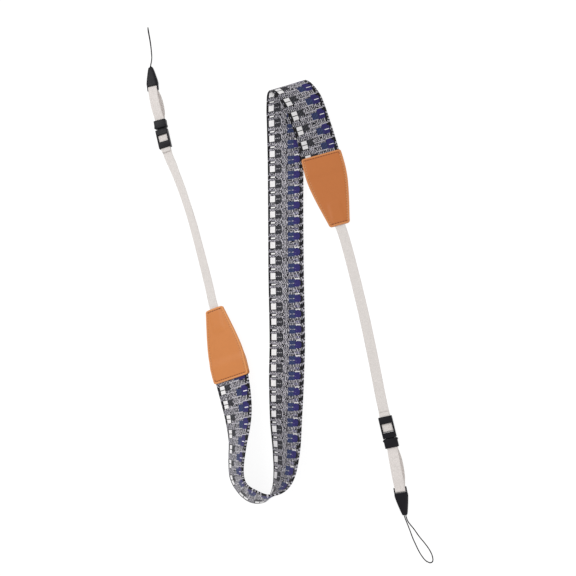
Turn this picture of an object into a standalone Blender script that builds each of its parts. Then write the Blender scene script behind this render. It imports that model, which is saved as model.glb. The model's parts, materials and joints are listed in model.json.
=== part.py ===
"""Camera neck strap laid on a table: a patterned woven band, two leather end tabs, two narrow
webbing straps, two quick-release buckles, two webbing loops, two tapered connectors and two cord
loops. Sizes below are millimetres and degrees, and are turned to metres as the meshes are made.

The strap is followed from its middle outwards. The woven band has one table of stations. Each end
of the strap is then a chain of frames: band end, leather tab, webbing, buckle, loop, connector,
cord. A frame's X points outwards along the strap, its Y across it and its Z out of the front face.
"""

import math

import bmesh
import bpy
import numpy as np
from mathutils import Matrix, Vector

MM = 0.001
GAP = 0.3

# Woven band
BAND_WIDTH = 38.0
BAND_THICKNESS = 1.8
BAND_CHAMFER = 0.45
RUN_LENGTH = 400.0
FOLD_HEIGHT = 12.0
BAND_TUCK = 15.0
BAND_STEP = 4.5

# Leather tabs
TAB_LENGTH = 74.0
TAB_WIDE = 41.6
TAB_NARROW = 20.0
LEATHER_THICKNESS = 1.3
SEAM_MARGIN = 1.6
FILLING_MARGIN = 1.0
FILLING_EASE = 8.0
TAB_ROWS = 20
TAB_COLUMNS = 12

# Ivory webbing
WEBBING_WIDTH = 10.0
WEBBING_THICKNESS = 0.9
WEBBING_CHAMFER = 0.2
WEBBING_TUCK = 18.0
WEBBING_STEP = 6.0
TAIL_LENGTH = 4.0
LEFT_WEBBING_LENGTH = 179.5
RIGHT_WEBBING_LENGTH = 191.5
LEFT_LOOP_LENGTH = 34.4
RIGHT_LOOP_LENGTH = 37.4
LEFT_LOOP_BOW = -2.2
RIGHT_LOOP_BOW = 2.0
WRAP_LEAD = 1.5
WRAP_POINTS = 9

# Buckles
BUCKLE_HEIGHT = 5.6
RAIL_WIDTH = 1.2
COVER_THICKNESS = 1.2
COVER_LENGTH = 6.8
WINDOW_LENGTH = 9.2
WINDOW_LIP = 0.9
RECEIVER_LENGTH = 4.6
CROSSBAR_LENGTH = 2.2
CROSSBAR_HEIGHT = 1.2
CROSSBAR_NOSE = 0.3
HEAD_LENGTH = 8.8
HEAD_WALL = 1.6
TONGUE_LENGTH = 4.8
TONGUE_WIDTH = 8.4
TONGUE_HEIGHT = 2.0
TONGUE_PLAY = 0.9
LUG_RADIUS = 1.1
LUG_STAND_OUT = 0.7
LUG_SETBACK = 0.4
LEFT_PLUG_GAP = 1.6
RIGHT_PLUG_GAP = 0.35
BUCKLE_ROUNDING = 0.6
CUT_MARGIN = 1.0

# Connectors
CONNECTOR_WIDTH = 12.8
CONNECTOR_HEIGHT = 5.2
RING_BAR = 1.9
RING_SLOT = 3.2
BODY_LENGTH = 20.0
TIP_WIDTH = 5.0
TIP_HEIGHT = 3.4
RING_ROUNDING = 0.6
TIP_ROUNDING = 0.7
CONNECTOR_SIDES = 16

# Cord loops
CORD_DIAMETER = 1.0
CORD_SPLAY = 1.5
LEFT_CORD_REACH = 44.8
RIGHT_CORD_REACH = 46.0
CORD_POINT_SPACING = 2.5

# The band's stations, from the left tab round the lower turn, up the long run, over the fold and
# down to the right tab. They follow the edge with the white blocks. Across is a share of the
# band's width and along a share of the long run's length. Azimuth and elevation aim from the
# indigo edge to the white one, and lift is a share of the fold's height.
BAND_COLUMNS = ("across", "along", "azimuth", "elevation", "lift")
BAND_ROUTE = (
    ("left_tab", -1.920, -0.2400, 196.7, -14, 0.00),
    ("leg_upper", -1.820, -0.2800, 193.0, -20, 0.00),
    ("leg_middle", -1.680, -0.3280, 188.0, -32, 0.00),
    ("leg_lower", -1.580, -0.3800, 182.0, -47, 0.00),
    ("leg_foot", -1.580, -0.4300, 180.0, -52, 0.00),
    ("turn_in", -1.530, -0.4725, 194.0, -53, 0.00),
    ("turn_left", -1.290, -0.5075, 220.0, -56, 0.00),
    ("turn_bottom", -0.950, -0.5275, 236.0, -58, 0.00),
    ("turn_right", -0.580, -0.5225, 224.0, -66, 0.00),
    ("turn_out", -0.415, -0.4950, 190.0, -60, 0.00),
    ("run_foot", -0.370, -0.4550, 176.0, -47, 0.00),
    ("run_low", -0.395, -0.4000, 178.0, -35, 0.00),
    ("run_relaxing", -0.470, -0.3250, 180.0, -23, 0.00),
    ("run_settled", -0.500, -0.2250, 180.0, -13, 0.00),
    ("run_lower_middle", -0.490, -0.1225, 180.0, -10, 0.00),
    ("run_middle", -0.525, 0.0350, 180.0, -9, 0.00),
    ("run_upper_middle", -0.540, 0.2000, 180.5, -8, 0.00),
    ("run_high", -0.555, 0.3250, 182.0, -4, 0.00),
    ("run_top", -0.580, 0.4150, 186.0, -1, 0.00),
    ("fold_in", -0.590, 0.4680, 189.5, 0, 0.05),
    ("fold_top", -0.515, 0.5030, 192.0, 0, 0.46),
    ("fold_out", -0.262, 0.4880, 194.0, 4, 0.80),
    ("arm_upper", 0.050, 0.4400, 198.0, 9, 0.58),
    ("arm_lower", 0.250, 0.3820, 197.0, 9, 0.24),
    ("right_tab", 0.440, 0.3195, 194.8, 8, 0.05),
)

# The outline of a leather tab, from its wide end to its narrow one: the share of its length, and
# the half width as a share of half the wide end.
TAB_OUTLINE = (
    ("wide_end", 0.00, 0.970),
    ("wide_corner", 0.05, 0.990),
    ("hip", 0.25, 0.995),
    ("shoulder", 0.40, 0.955),
    ("waist", 0.60, 0.820),
    ("neck", 0.80, 0.655),
    ("narrow_end", 1.00, None),
)

# A connector's body, from the slot to its tip: the share of its length, and its width and height
# as shares of the way from the tip's size to the full size.
CONNECTOR_BODY = (
    ("base", 0.00, 0.96, 1.00),
    ("shoulder", 0.16, 1.00, 1.00),
    ("waist", 0.50, 0.66, 0.85),
    ("neck", 0.84, 0.24, 0.45),
    ("tip", 1.00, 0.00, 0.00),
)

# A loop's two layers, as shares of its length. The upper one's swell is a share of its rise. The
# lower one's stray is a share of the bow, and sunk is how far it has gone down to the table.
LOOP_RISE = 0.28
LOOP_UPPER = ((0.10, 0.20), (0.30, 0.75), (0.55, 1.00), (0.80, 0.65), (0.95, 0.15))
LOOP_LOWER = (
    (0.94, 0.15, 0.25),
    (0.78, 0.70, 1.00),
    (0.50, 1.00, 1.00),
    (0.22, 0.70, 1.00),
    (0.07, 0.15, 0.30),
)

# How each end of the strap lies. A webbing row holds the share of its length, its turn away from
# the tab's heading and its roll. A bow is how far a loop's lower layer strays sideways. A cord row
# holds shares of the cord's reach from the connector's tip: how far out it is, how far sideways
# the middle of the two strands is, and half the distance between them. The cord's lean is the
# angle at which the plane of its two strands stands on the table.
ENDS = (
    {
        "name": "left",
        "station": 0,
        "white_side": 1,
        "webbing_length": LEFT_WEBBING_LENGTH,
        "webbing_rows": (
            (0.00, 1.5, -14.0),
            (0.12, -1.3, -16.0),
            (0.45, -0.2, -22.0),
            (0.62, 3.0, -26.0),
            (0.82, 6.5, -22.0),
            (0.92, 10.0, -8.0),
            (1.00, -2.0, 0.0),
        ),
        "plug_gap": LEFT_PLUG_GAP,
        "plug_turn": -4.0,
        "loop_length": LEFT_LOOP_LENGTH,
        "loop_turn": 4.0,
        "loop_bow": LEFT_LOOP_BOW,
        "connector_turn": -6.5,
        "cord_reach": LEFT_CORD_REACH,
        "cord_lean": 66.0,
        "cord_rows": (
            (0.05, -0.003, 0.0160),
            (0.14, -0.028, 0.0190),
            (0.25, -0.048, 0.0240),
            (0.38, -0.056, 0.0300),
            (0.52, -0.060, 0.0370),
            (0.66, -0.058, 0.0430),
            (0.79, -0.052, 0.0490),
            (0.88, -0.046, 0.0510),
            (0.945, -0.042, 0.0500),
        ),
    },
    {
        "name": "right",
        "station": -1,
        "white_side": -1,
        "webbing_length": RIGHT_WEBBING_LENGTH,
        "webbing_rows": (
            (0.00, 6.0, -8.0),
            (0.06, 1.0, -9.0),
            (0.16, -0.3, -10.0),
            (0.38, -1.6, -10.0),
            (0.60, -3.3, -8.0),
            (0.85, -4.3, -4.0),
            (1.00, -1.5, 0.0),
        ),
        "plug_gap": RIGHT_PLUG_GAP,
        "plug_turn": 0.0,
        "loop_length": RIGHT_LOOP_LENGTH,
        "loop_turn": -3.0,
        "loop_bow": RIGHT_LOOP_BOW,
        "connector_turn": 0.0,
        "cord_reach": RIGHT_CORD_REACH,
        "cord_lean": 0.0,
        "cord_rows": (
            (0.05, 0.003, 0.0150),
            (0.15, 0.022, 0.0170),
            (0.30, 0.076, 0.0435),
            (0.46, 0.129, 0.0685),
            (0.61, 0.191, 0.0935),
            (0.74, 0.242, 0.1070),
            (0.85, 0.280, 0.1020),
            (0.94, 0.308, 0.0770),
            (0.985, 0.325, 0.0400),
        ),
    },
)

MATERIALS = {
    "woven_cloth": ((0.30, 0.31, 0.36), 0.85),
    "tan_leather": ((0.66, 0.27, 0.08), 0.50),
    "ivory_webbing": ((0.76, 0.71, 0.67), 0.80),
    "black_plastic": ((0.018, 0.018, 0.022), 0.38),
    "black_cord": ((0.04, 0.04, 0.042), 0.60),
}


def clear_scene():
    for obj in list(bpy.data.objects):
        bpy.data.objects.remove(obj)


def make_materials():
    made = {}
    for name, (colour, roughness) in MATERIALS.items():
        material = bpy.data.materials.new(name)
        material.use_nodes = True
        shader = material.node_tree.nodes["Principled BSDF"]
        shader.inputs["Base Color"].default_value = (*colour, 1.0)
        shader.inputs["Roughness"].default_value = roughness
        made[name] = material
    return made


def add_object(name, mesh, material):
    """Links a mesh made in millimetres as a named object, smooth but for its sharp edges."""
    mesh.transform(Matrix.Scale(MM, 4))
    mesh.materials.append(material)
    mesh.shade_smooth()
    mesh.set_sharp_from_angle(angle=math.radians(35))
    obj = bpy.data.objects.new(name, mesh)
    bpy.context.scene.collection.objects.link(obj)
    return obj


def smooth_path(rows, steps):
    """A Catmull-Rom curve through the rows of an array, with the given steps in each interval."""
    rows = np.asarray(rows, float)
    ends = np.vstack([2 * rows[0] - rows[1], rows, 2 * rows[-1] - rows[-2]])
    found = []
    for i, count in enumerate(steps):
        before, start, end, after = ends[i : i + 4]
        for t in np.arange(count) / count:
            found.append(
                0.5
                * (
                    2 * start
                    + (end - before) * t
                    + (2 * before - 5 * start + 4 * end - after) * t**2
                    + (3 * start - before - 3 * end + after) * t**3
                )
            )
    found.append(rows[-1])
    return np.array(found)


def unit(vectors):
    vectors = np.asarray(vectors, float)
    return vectors / np.linalg.norm(vectors, axis=-1, keepdims=True)


def loft(name, rings, material, closed=False):
    """A solid through rings of points. It has end caps, or is a closed loop of rings."""
    shape = bmesh.new()
    loops = [[shape.verts.new(point) for point in ring] for ring in rings]
    pairs = list(zip(loops, loops[1:]))
    if closed:
        pairs.append((loops[-1], loops[0]))
    else:
        shape.faces.new(loops[0][::-1])
        shape.faces.new(loops[-1])
    for first, second in pairs:
        for i, point in enumerate(first):
            after = (i + 1) % len(first)
            shape.faces.new((point, first[after], second[after], second[i]))
    bmesh.ops.recalc_face_normals(shape, faces=shape.faces)
    mesh = bpy.data.meshes.new(name)
    shape.to_mesh(mesh)
    shape.free()
    return add_object(name, mesh, material)


def strip_profile(width, thickness, chamfer):
    """A strap's section, as offsets across it and out of its front, with chamfered edges."""
    a, n = width / 2, thickness / 2
    return (
        (-a, chamfer - n), (chamfer - a, -n), (a - chamfer, -n), (a, chamfer - n),
        (a, n - chamfer), (a - chamfer, n), (chamfer - a, n), (-a, n - chamfer),
    )


def strip(name, centres, across, widths, thickness, chamfer, material, closed=False):
    """A strap through centres, with the direction across it and its width at each of them."""
    centres, across = np.asarray(centres), unit(across)
    tangents = np.gradient(centres, axis=0)
    if closed:
        tangents = np.roll(centres, -1, axis=0) - np.roll(centres, 1, axis=0)
    normals = unit(np.cross(tangents, across))
    rings = []
    for centre, side, normal, width in zip(centres, across, normals, widths):
        profile = strip_profile(width, thickness, chamfer)
        rings.append([centre + side * a + normal * n for a, n in profile])
    return loft(name, rings, material, closed)


def rest_height(half_width, half_thickness, roll):
    """How high a rolled strap's centre is when its lower edge touches the table."""
    roll = math.radians(roll)
    return abs(math.sin(roll)) * half_width + abs(math.cos(roll)) * half_thickness


def band_stations():
    """Centres, across directions and widths of the band, from the left tab to the right one."""
    rows = []
    for _, across, along, azimuth, elevation, lift in BAND_ROUTE:
        turn, tilt = math.radians(azimuth), math.radians(elevation)
        aim = np.array(
            [math.cos(turn) * math.cos(tilt), math.sin(turn) * math.cos(tilt), math.sin(tilt)]
        )
        rest = rest_height(BAND_WIDTH / 2, BAND_THICKNESS / 2, elevation)
        edge = rest + BAND_WIDTH / 2 * aim[2] + lift * FOLD_HEIGHT
        rows.append([across * BAND_WIDTH, along * RUN_LENGTH, edge, *aim])
    rows = np.array(rows)
    for end in ENDS:
        row = rows[end["station"]]
        for _ in range(4):
            lowest = tab_lowest(tab_frame(end, row[:3] - row[3:] * BAND_WIDTH / 2, row[3:]))
            row[2] -= min(0.0, lowest)
    reach = np.linalg.norm(np.diff(rows[:, :3], axis=0), axis=1)
    steps = [max(3, math.ceil(length / BAND_STEP)) for length in reach]
    path = smooth_path(rows, steps)
    edges, aims = path[:, :3], unit(path[:, 3:])
    middle = edges - aims * BAND_WIDTH / 2
    slant = np.linalg.norm(np.cross(unit(np.gradient(middle, axis=0)), aims), axis=1)
    widths = BAND_WIDTH / np.maximum(slant, 0.98)
    return edges - aims * widths[:, None] / 2, aims, widths


def tab_frame(end, centre, aim):
    """The frame at a tab's wide end. The tab rolls with the band and pitches until its tip rests."""
    y_axis = Vector(aim * end["white_side"]).normalized()
    x_axis = y_axis.cross(Vector((0, 0, 1))).normalized()
    z_axis = x_axis.cross(y_axis)
    turn = Matrix((x_axis, y_axis, z_axis)).transposed().to_4x4()
    roll = math.degrees(math.asin(y_axis.z))
    tip_half = tab_filling(TAB_LENGTH, 0) + LEATHER_THICKNESS
    drop = centre[2] - rest_height(TAB_NARROW / 2, tip_half, roll)
    pitch = Matrix.Rotation(math.asin(drop / TAB_LENGTH), 4, "Y")
    return Matrix.Translation(Vector(centre)) @ turn @ pitch


def tab_lowest(frame):
    """The lowest height on the tab's underside."""
    heights = []
    for i in range(TAB_ROWS + 1):
        share = i / TAB_ROWS
        for side in (-1, 1):
            y = side * tab_half_width(share)
            x = TAB_LENGTH * share
            heights.append((frame @ Vector((x, y, -tab_filling(x, y) - LEATHER_THICKNESS))).z)
    return min(heights)


def to_world(frame, points):
    return np.array([frame @ Vector(point) for point in points])


def make_band(materials):
    centres, aims, widths = band_stations()
    for end in ENDS:
        frame = tab_frame(end, centres[end["station"]], aims[end["station"]])
        tucked = np.array(frame @ Vector((BAND_TUCK, 0, 0)))
        side = slice(0, 1) if end["station"] == 0 else slice(-1, None)
        joined = (centres, [tucked]) if end["station"] else ([tucked], centres)
        centres = np.vstack(joined)
        extra = (aims, aims[side]) if end["station"] else (aims[side], aims)
        aims = np.vstack(extra)
        widths = np.append(widths, BAND_WIDTH) if end["station"] else np.append(BAND_WIDTH, widths)
    strip(
        "woven_band", centres, aims, widths, BAND_THICKNESS, BAND_CHAMFER, materials["woven_cloth"]
    )


def tab_half_width(share):
    """Half the tab's width at a share of its length, read from its outline."""
    narrow = TAB_NARROW / TAB_WIDE
    shares = [row[1] for row in TAB_OUTLINE]
    halves = [narrow if row[2] is None else row[2] for row in TAB_OUTLINE]
    return TAB_WIDE / 2 * float(np.interp(share, shares, halves))


def ramp(value, start, end):
    """0 before start and 1 after end, smooth between them."""
    t = min(1.0, max(0.0, (value - start) / (end - start)))
    return t * t * (3 - 2 * t)


def tab_filling(x, y):
    """Half the thickness of what lies between the two leathers at a point of the tab."""
    band_end = BAND_TUCK + FILLING_MARGIN
    band = (1 - ramp(x, band_end, band_end + FILLING_EASE)) * (BAND_THICKNESS / 2 + GAP / 2)
    start = TAB_LENGTH - WEBBING_TUCK - FILLING_MARGIN
    strap_edge = WEBBING_WIDTH / 2 + GAP
    beside = 1 - ramp(abs(y), strap_edge, strap_edge + SEAM_MARGIN)
    strap = ramp(x, start - FILLING_EASE, start) * beside * (WEBBING_THICKNESS / 2 + GAP / 2)
    return GAP / 2 + max(band, strap)


def make_leather(name, frame, side, material):
    """One leather of a tab, the front one with side 1 or the back one with side -1."""
    shape = bmesh.new()
    layers = []
    for depth in (0.0, LEATHER_THICKNESS):
        grid = []
        for i in range(TAB_ROWS + 1):
            share = i / TAB_ROWS
            half = tab_half_width(share)
            row = []
            for j in range(TAB_COLUMNS + 1):
                y = half * (2 * j / TAB_COLUMNS - 1)
                x = TAB_LENGTH * share
                z = tab_filling(x, y) + depth
                row.append(shape.verts.new(frame @ Vector((x, y, side * z))))
            grid.append(row)
        layers.append(grid)
    for grid in layers:
        for near, far in zip(grid, grid[1:]):
            for j in range(TAB_COLUMNS):
                shape.faces.new((near[j], near[j + 1], far[j + 1], far[j]))
    inner, outer = (grid_rim(grid) for grid in layers)
    for i, point in enumerate(inner):
        after = (i + 1) % len(inner)
        shape.faces.new((point, inner[after], outer[after], outer[i]))
    bmesh.ops.recalc_face_normals(shape, faces=shape.faces)
    mesh = bpy.data.meshes.new(name)
    shape.to_mesh(mesh)
    shape.free()
    return add_object(name, mesh, material)


def grid_rim(grid):
    """The points round the edge of a grid, in order."""
    far_side = [row[-1] for row in grid[1:]]
    near_side = [row[0] for row in grid[-2:0:-1]]
    return grid[0] + far_side + grid[-1][-2::-1] + near_side


def crossbar_levels():
    """Heights of a strap's lower and upper layer where it wraps a bar, and of the bar's middle."""
    upper = BUCKLE_HEIGHT - COVER_THICKNESS - GAP - WEBBING_THICKNESS / 2
    clear = WEBBING_THICKNESS / 2 + GAP
    middle = upper - clear - CROSSBAR_HEIGHT / 2
    return middle - CROSSBAR_HEIGHT / 2 - clear, upper, middle


def half_turn(x, direction):
    """Points of a strap's half turn round a bar, from its lower layer to its upper one."""
    lower, upper, middle = crossbar_levels()
    radius = (upper - lower) / 2
    angles = np.radians(np.linspace(-90, 90, WRAP_POINTS))
    return [(x + direction * radius * math.cos(a), 0, middle + radius * math.sin(a)) for a in angles]


def heading_path(end, start, heading):
    """Positions, headings and rolls along an end's webbing, by following its turns."""
    length = end["webbing_length"]
    count = math.ceil(length / WEBBING_STEP)
    shares = np.linspace(0, 1, count + 1)
    columns = np.array(end["webbing_rows"])
    turns = smooth_columns(shares, columns[:, 0], columns[:, 1])
    rolls = smooth_columns(shares, columns[:, 0], columns[:, 2])
    headings = heading + np.radians(turns)
    points = [np.array(start, float)]
    for first, second in zip(headings, headings[1:]):
        aim = (first + second) / 2
        points.append(points[-1] + length / count * np.array([math.cos(aim), math.sin(aim)]))
    return np.array(points), headings, rolls


def smooth_columns(shares, known, values):
    """Values between table rows, eased so that the strap has no kink at a row."""
    found = []
    for share in shares:
        i = min(len(known) - 2, int(np.searchsorted(known, share, side="right")) - 1)
        t = ramp(share, known[i], known[i + 1])
        found.append(values[i] + (values[i + 1] - values[i]) * t)
    return np.array(found)


def flat_frame(position, heading):
    return Matrix.Translation((*position, 0)) @ Matrix.Rotation(heading, 4, "Z")


def make_webbing(end, tab, material):
    """The narrow strap from inside the tab to its sewn fold round the buckle's crossbar."""
    mouth = tab @ Vector((TAB_LENGTH, 0, 0))
    x_axis = tab.to_3x3() @ Vector((1, 0, 0))
    heading = math.atan2(x_axis.y, x_axis.x)
    plan, headings, rolls = heading_path(end, mouth.xy, heading)
    buckle = flat_frame(plan[-1], headings[-1])
    lower, upper, _ = crossbar_levels()
    shares = np.linspace(0, 1, len(plan))
    half = WEBBING_THICKNESS / 2
    tuck = [(TAB_LENGTH - WEBBING_TUCK * share, 0, 0) for share in (1, 0.66, 0.33)]
    centres = list(to_world(tab, tuck))
    sides = [np.array(tab.to_3x3() @ Vector((0, 1, 0)))] * len(tuck)
    for point, aim, roll, share in zip(plan, headings, rolls, shares):
        resting = rest_height(WEBBING_WIDTH / 2, half, roll)
        leaving = 1 - ramp(share, 0.0, 0.14)
        arriving = ramp(share, 0.90, 0.99)
        height = resting + (mouth.z - resting) * leaving
        height += (lower - height) * arriving
        centres.append(np.array([*point, height]))
        tilt = math.radians(roll)
        sides.append(
            np.array([-math.sin(aim) * math.cos(tilt), math.cos(aim) * math.cos(tilt), math.sin(tilt)])
        )
    wrap_at = frame_wrap()
    places = (COVER_LENGTH * 0.5, COVER_LENGTH, wrap_at - WRAP_LEAD)
    under = [(x, 0, lower) for x in places]
    tail = [(x, 0, upper) for x in (*places[::-1], 0)]
    tail.append((-TAIL_LENGTH, 0, lower + WEBBING_THICKNESS + GAP))
    wrap = under + half_turn(wrap_at, 1) + tail
    centres.extend(to_world(buckle, wrap))
    sides.extend([np.array(buckle.to_3x3() @ Vector((0, 1, 0)))] * len(wrap))
    widths = [WEBBING_WIDTH] * len(centres)
    strip(
        f"webbing_{end['name']}", centres, sides, widths, WEBBING_THICKNESS, WEBBING_CHAMFER, material
    )
    return buckle


def block(name, low, high, rounding=0.0):
    """A box from its low and high corners, its edges rounded, as a mesh in millimetres."""
    shape = bmesh.new()
    bmesh.ops.create_cube(shape, size=1.0)
    low, high = Vector(low), Vector(high)
    for vert in shape.verts:
        vert.co = Vector(((low[i] + high[i]) / 2 + vert.co[i] * (high[i] - low[i])) for i in range(3))
    if rounding:
        bmesh.ops.bevel(
            shape, geom=shape.edges[:], offset=rounding, segments=2, profile=0.5, affect="EDGES"
        )
    mesh = bpy.data.meshes.new(name)
    shape.to_mesh(mesh)
    shape.free()
    return mesh


def change(target, kind, name, mesh, frame):
    """Cuts a mesh from the target, or joins it on, by a Boolean with a hidden helper."""
    mesh.transform(Matrix.Scale(MM, 4))
    helper = bpy.data.objects.new(name, mesh)
    bpy.context.scene.collection.objects.link(helper)
    helper.matrix_world = in_metres(frame)
    helper.hide_render = True
    helper.display_type = "WIRE"
    modifier = target.modifiers.new(name, "BOOLEAN")
    modifier.operation = kind
    modifier.solver = "EXACT"
    modifier.object = helper


def in_metres(frame):
    frame = frame.copy()
    frame.translation = frame.translation * MM
    return frame


def make_crossbar(target, name, frame, x, half_span):
    _, _, middle = crossbar_levels()
    low = (x - CROSSBAR_LENGTH / 2, -half_span, middle - CROSSBAR_HEIGHT / 2)
    high = (x + CROSSBAR_LENGTH / 2, half_span, middle + CROSSBAR_HEIGHT / 2)
    change(target, "UNION", name, block(name, low, high), frame)


def buckle_half_width():
    return WEBBING_WIDTH / 2 + GAP + RAIL_WIDTH


def frame_length():
    return COVER_LENGTH + WINDOW_LENGTH + RECEIVER_LENGTH


def frame_wrap():
    """Where the webbing's half turn round the frame's bar starts."""
    return COVER_LENGTH + WINDOW_LENGTH * 0.70


def make_buckle_frame(end, frame, material):
    """The buckle's outer half: two rails, a cover, a window, a crossbar and the receiver."""
    name = f"buckle_frame_{end['name']}"
    half, passage = buckle_half_width(), WEBBING_WIDTH / 2 + GAP
    mesh = block(name, (0, -half, 0), (frame_length(), half, BUCKLE_HEIGHT), BUCKLE_ROUNDING)
    obj = add_object(name, mesh, material)
    obj.matrix_world = in_metres(frame)
    window_end = COVER_LENGTH + WINDOW_LENGTH
    ceiling = BUCKLE_HEIGHT - COVER_THICKNESS
    under = block("passage", (-CUT_MARGIN, -passage, -CUT_MARGIN), (window_end, passage, ceiling))
    change(obj, "DIFFERENCE", f"passage_{end['name']}", under, frame)
    above = BUCKLE_HEIGHT + CUT_MARGIN
    lip = window_end - WINDOW_LIP
    window = block("window", (COVER_LENGTH, -passage, CUT_MARGIN), (lip, passage, above))
    change(obj, "DIFFERENCE", f"window_{end['name']}", window, frame)
    wide, tall = TONGUE_WIDTH / 2 + TONGUE_PLAY, TONGUE_HEIGHT / 2 + GAP
    middle = BUCKLE_HEIGHT / 2
    low = (window_end - CUT_MARGIN, -wide, middle - tall)
    high = (frame_length() + CUT_MARGIN, wide, middle + tall)
    change(obj, "DIFFERENCE", f"cavity_{end['name']}", block("cavity", low, high), frame)
    bar = frame_wrap() - CROSSBAR_LENGTH / 2 + CROSSBAR_NOSE
    make_crossbar(obj, f"crossbar_{end['name']}", frame, bar, half - RAIL_WIDTH / 2)


def lug_mesh(x, y):
    shape = bmesh.new()
    bmesh.ops.create_cone(
        shape,
        cap_ends=True,
        segments=12,
        radius1=LUG_RADIUS,
        radius2=LUG_RADIUS,
        depth=BUCKLE_HEIGHT * 0.6,
        matrix=Matrix.Translation((x, y, BUCKLE_HEIGHT / 2)),
    )
    mesh = bpy.data.meshes.new("lug")
    shape.to_mesh(mesh)
    shape.free()
    return mesh


def make_plug(end, frame, material):
    """The buckle's inner half: a head that holds the loop on a bar, and a tongue. Returns its frame."""
    name = f"buckle_plug_{end['name']}"
    start = Matrix.Translation((frame_length() + end["plug_gap"], 0, 0))
    frame = frame @ start @ Matrix.Rotation(math.radians(end["plug_turn"]), 4, "Z")
    half, passage = buckle_half_width(), WEBBING_WIDTH / 2 + GAP
    mesh = block(name, (0, -half, 0), (HEAD_LENGTH, half, BUCKLE_HEIGHT), BUCKLE_ROUNDING)
    obj = add_object(name, mesh, material)
    obj.matrix_world = in_metres(frame)
    ceiling = BUCKLE_HEIGHT - COVER_THICKNESS
    low, high = (HEAD_WALL, -passage, -CUT_MARGIN), (HEAD_LENGTH + CUT_MARGIN, passage, ceiling)
    mouth = block("mouth", low, high)
    change(obj, "DIFFERENCE", f"mouth_{end['name']}", mouth, frame)
    middle = BUCKLE_HEIGHT / 2
    low = (-TONGUE_LENGTH, -TONGUE_WIDTH / 2, middle - TONGUE_HEIGHT / 2)
    high = (HEAD_WALL / 2, TONGUE_WIDTH / 2, middle + TONGUE_HEIGHT / 2)
    change(obj, "UNION", f"tongue_{end['name']}", block("tongue", low, high), frame)
    for side in (-1, 1):
        lug = lug_mesh(LUG_RADIUS + LUG_SETBACK, side * (half + LUG_STAND_OUT - LUG_RADIUS))
        change(obj, "UNION", f"lug_{end['name']}_{side}", lug, frame)
    make_crossbar(obj, f"loop_bar_{end['name']}", frame, plug_bar(), half - RAIL_WIDTH / 2)
    return frame


def plug_bar():
    """Where the middle of the plug's bar is, clear of the head's wall by the strap round it."""
    lower, upper, _ = crossbar_levels()
    room = (upper - lower) / 2 + WEBBING_THICKNESS / 2 + GAP
    return HEAD_WALL + room + CROSSBAR_LENGTH / 2 - CROSSBAR_NOSE


def connector_middle():
    return CONNECTOR_HEIGHT / 2


def loop_connector_frame(end, plug):
    """The frames at the start of a loop's free stretch and at its connector."""
    turn = Matrix.Rotation(math.radians(end["loop_turn"]), 4, "Z")
    start = plug @ Matrix.Translation((HEAD_LENGTH, 0, 0)) @ turn
    bend = Matrix.Rotation(math.radians(end["connector_turn"]), 4, "Z")
    return start, start @ Matrix.Translation((end["loop_length"], 0, 0)) @ bend


def make_loop(end, plug, material):
    """The sewn ring of webbing from the plug's bar to the connector's. Returns that one's frame."""
    lower, upper, _ = crossbar_levels()
    length, middle = end["loop_length"], connector_middle()
    start, connector = loop_connector_frame(end, plug)
    radius = ring_bar_height() / 2 + WEBBING_THICKNESS / 2 + GAP
    top, bottom = middle + radius, middle - radius
    near = plug_bar() - CROSSBAR_LENGTH / 2 + CROSSBAR_NOSE
    out = [(HEAD_LENGTH - WRAP_LEAD, 0, upper), (HEAD_LENGTH, 0, upper)]
    back = [(HEAD_LENGTH, 0, lower), (HEAD_LENGTH - WRAP_LEAD, 0, lower)]
    rise = WEBBING_WIDTH * LOOP_RISE
    over = [
        (length * share, 0, upper + (top - upper) * share + rise * swell)
        for share, swell in LOOP_UPPER
    ]
    beneath = []
    for share, stray, sunk in LOOP_LOWER:
        level = lower + (bottom - lower) * share
        level += (WEBBING_THICKNESS / 2 - level) * sunk
        beneath.append((length * share, end["loop_bow"] * stray, level))
    angles = np.radians(np.linspace(90, -90, WRAP_POINTS))
    wrap = [
        (RING_BAR + radius * math.cos(a) * 0.8, 0, middle + radius * math.sin(a)) for a in angles
    ]
    ring_mouth = RING_BAR * 0.2
    stretches = (
        (plug, half_turn(near, -1) + out),
        (start, over),
        (connector, [(ring_mouth, 0, top), *wrap, (ring_mouth, 0, bottom)]),
        (start, beneath),
        (plug, back),
    )
    points, sides = [], []
    for frame, places in stretches:
        points.extend(to_world(frame, places))
        sides.extend([np.array(frame.to_3x3() @ Vector((0, 1, 0)))] * len(places))
    widths = [WEBBING_WIDTH] * len(points)
    strip(
        f"loop_{end['name']}", points, sides, widths, WEBBING_THICKNESS, WEBBING_CHAMFER, material, True
    )
    return connector


def ring_bar_height():
    return CONNECTOR_HEIGHT * 0.32


def connector_ring(x, half_width, half_height):
    """One rounded section of a connector."""
    ring = []
    for i in range(CONNECTOR_SIDES):
        angle = 2 * math.pi * (i + 0.5) / CONNECTOR_SIDES
        c, s = math.cos(angle), math.sin(angle)
        y = half_width * math.copysign(abs(c) ** 0.45, c)
        z = half_height * math.copysign(abs(s) ** 0.55, s)
        ring.append((x, y, connector_middle() + z))
    return ring


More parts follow.
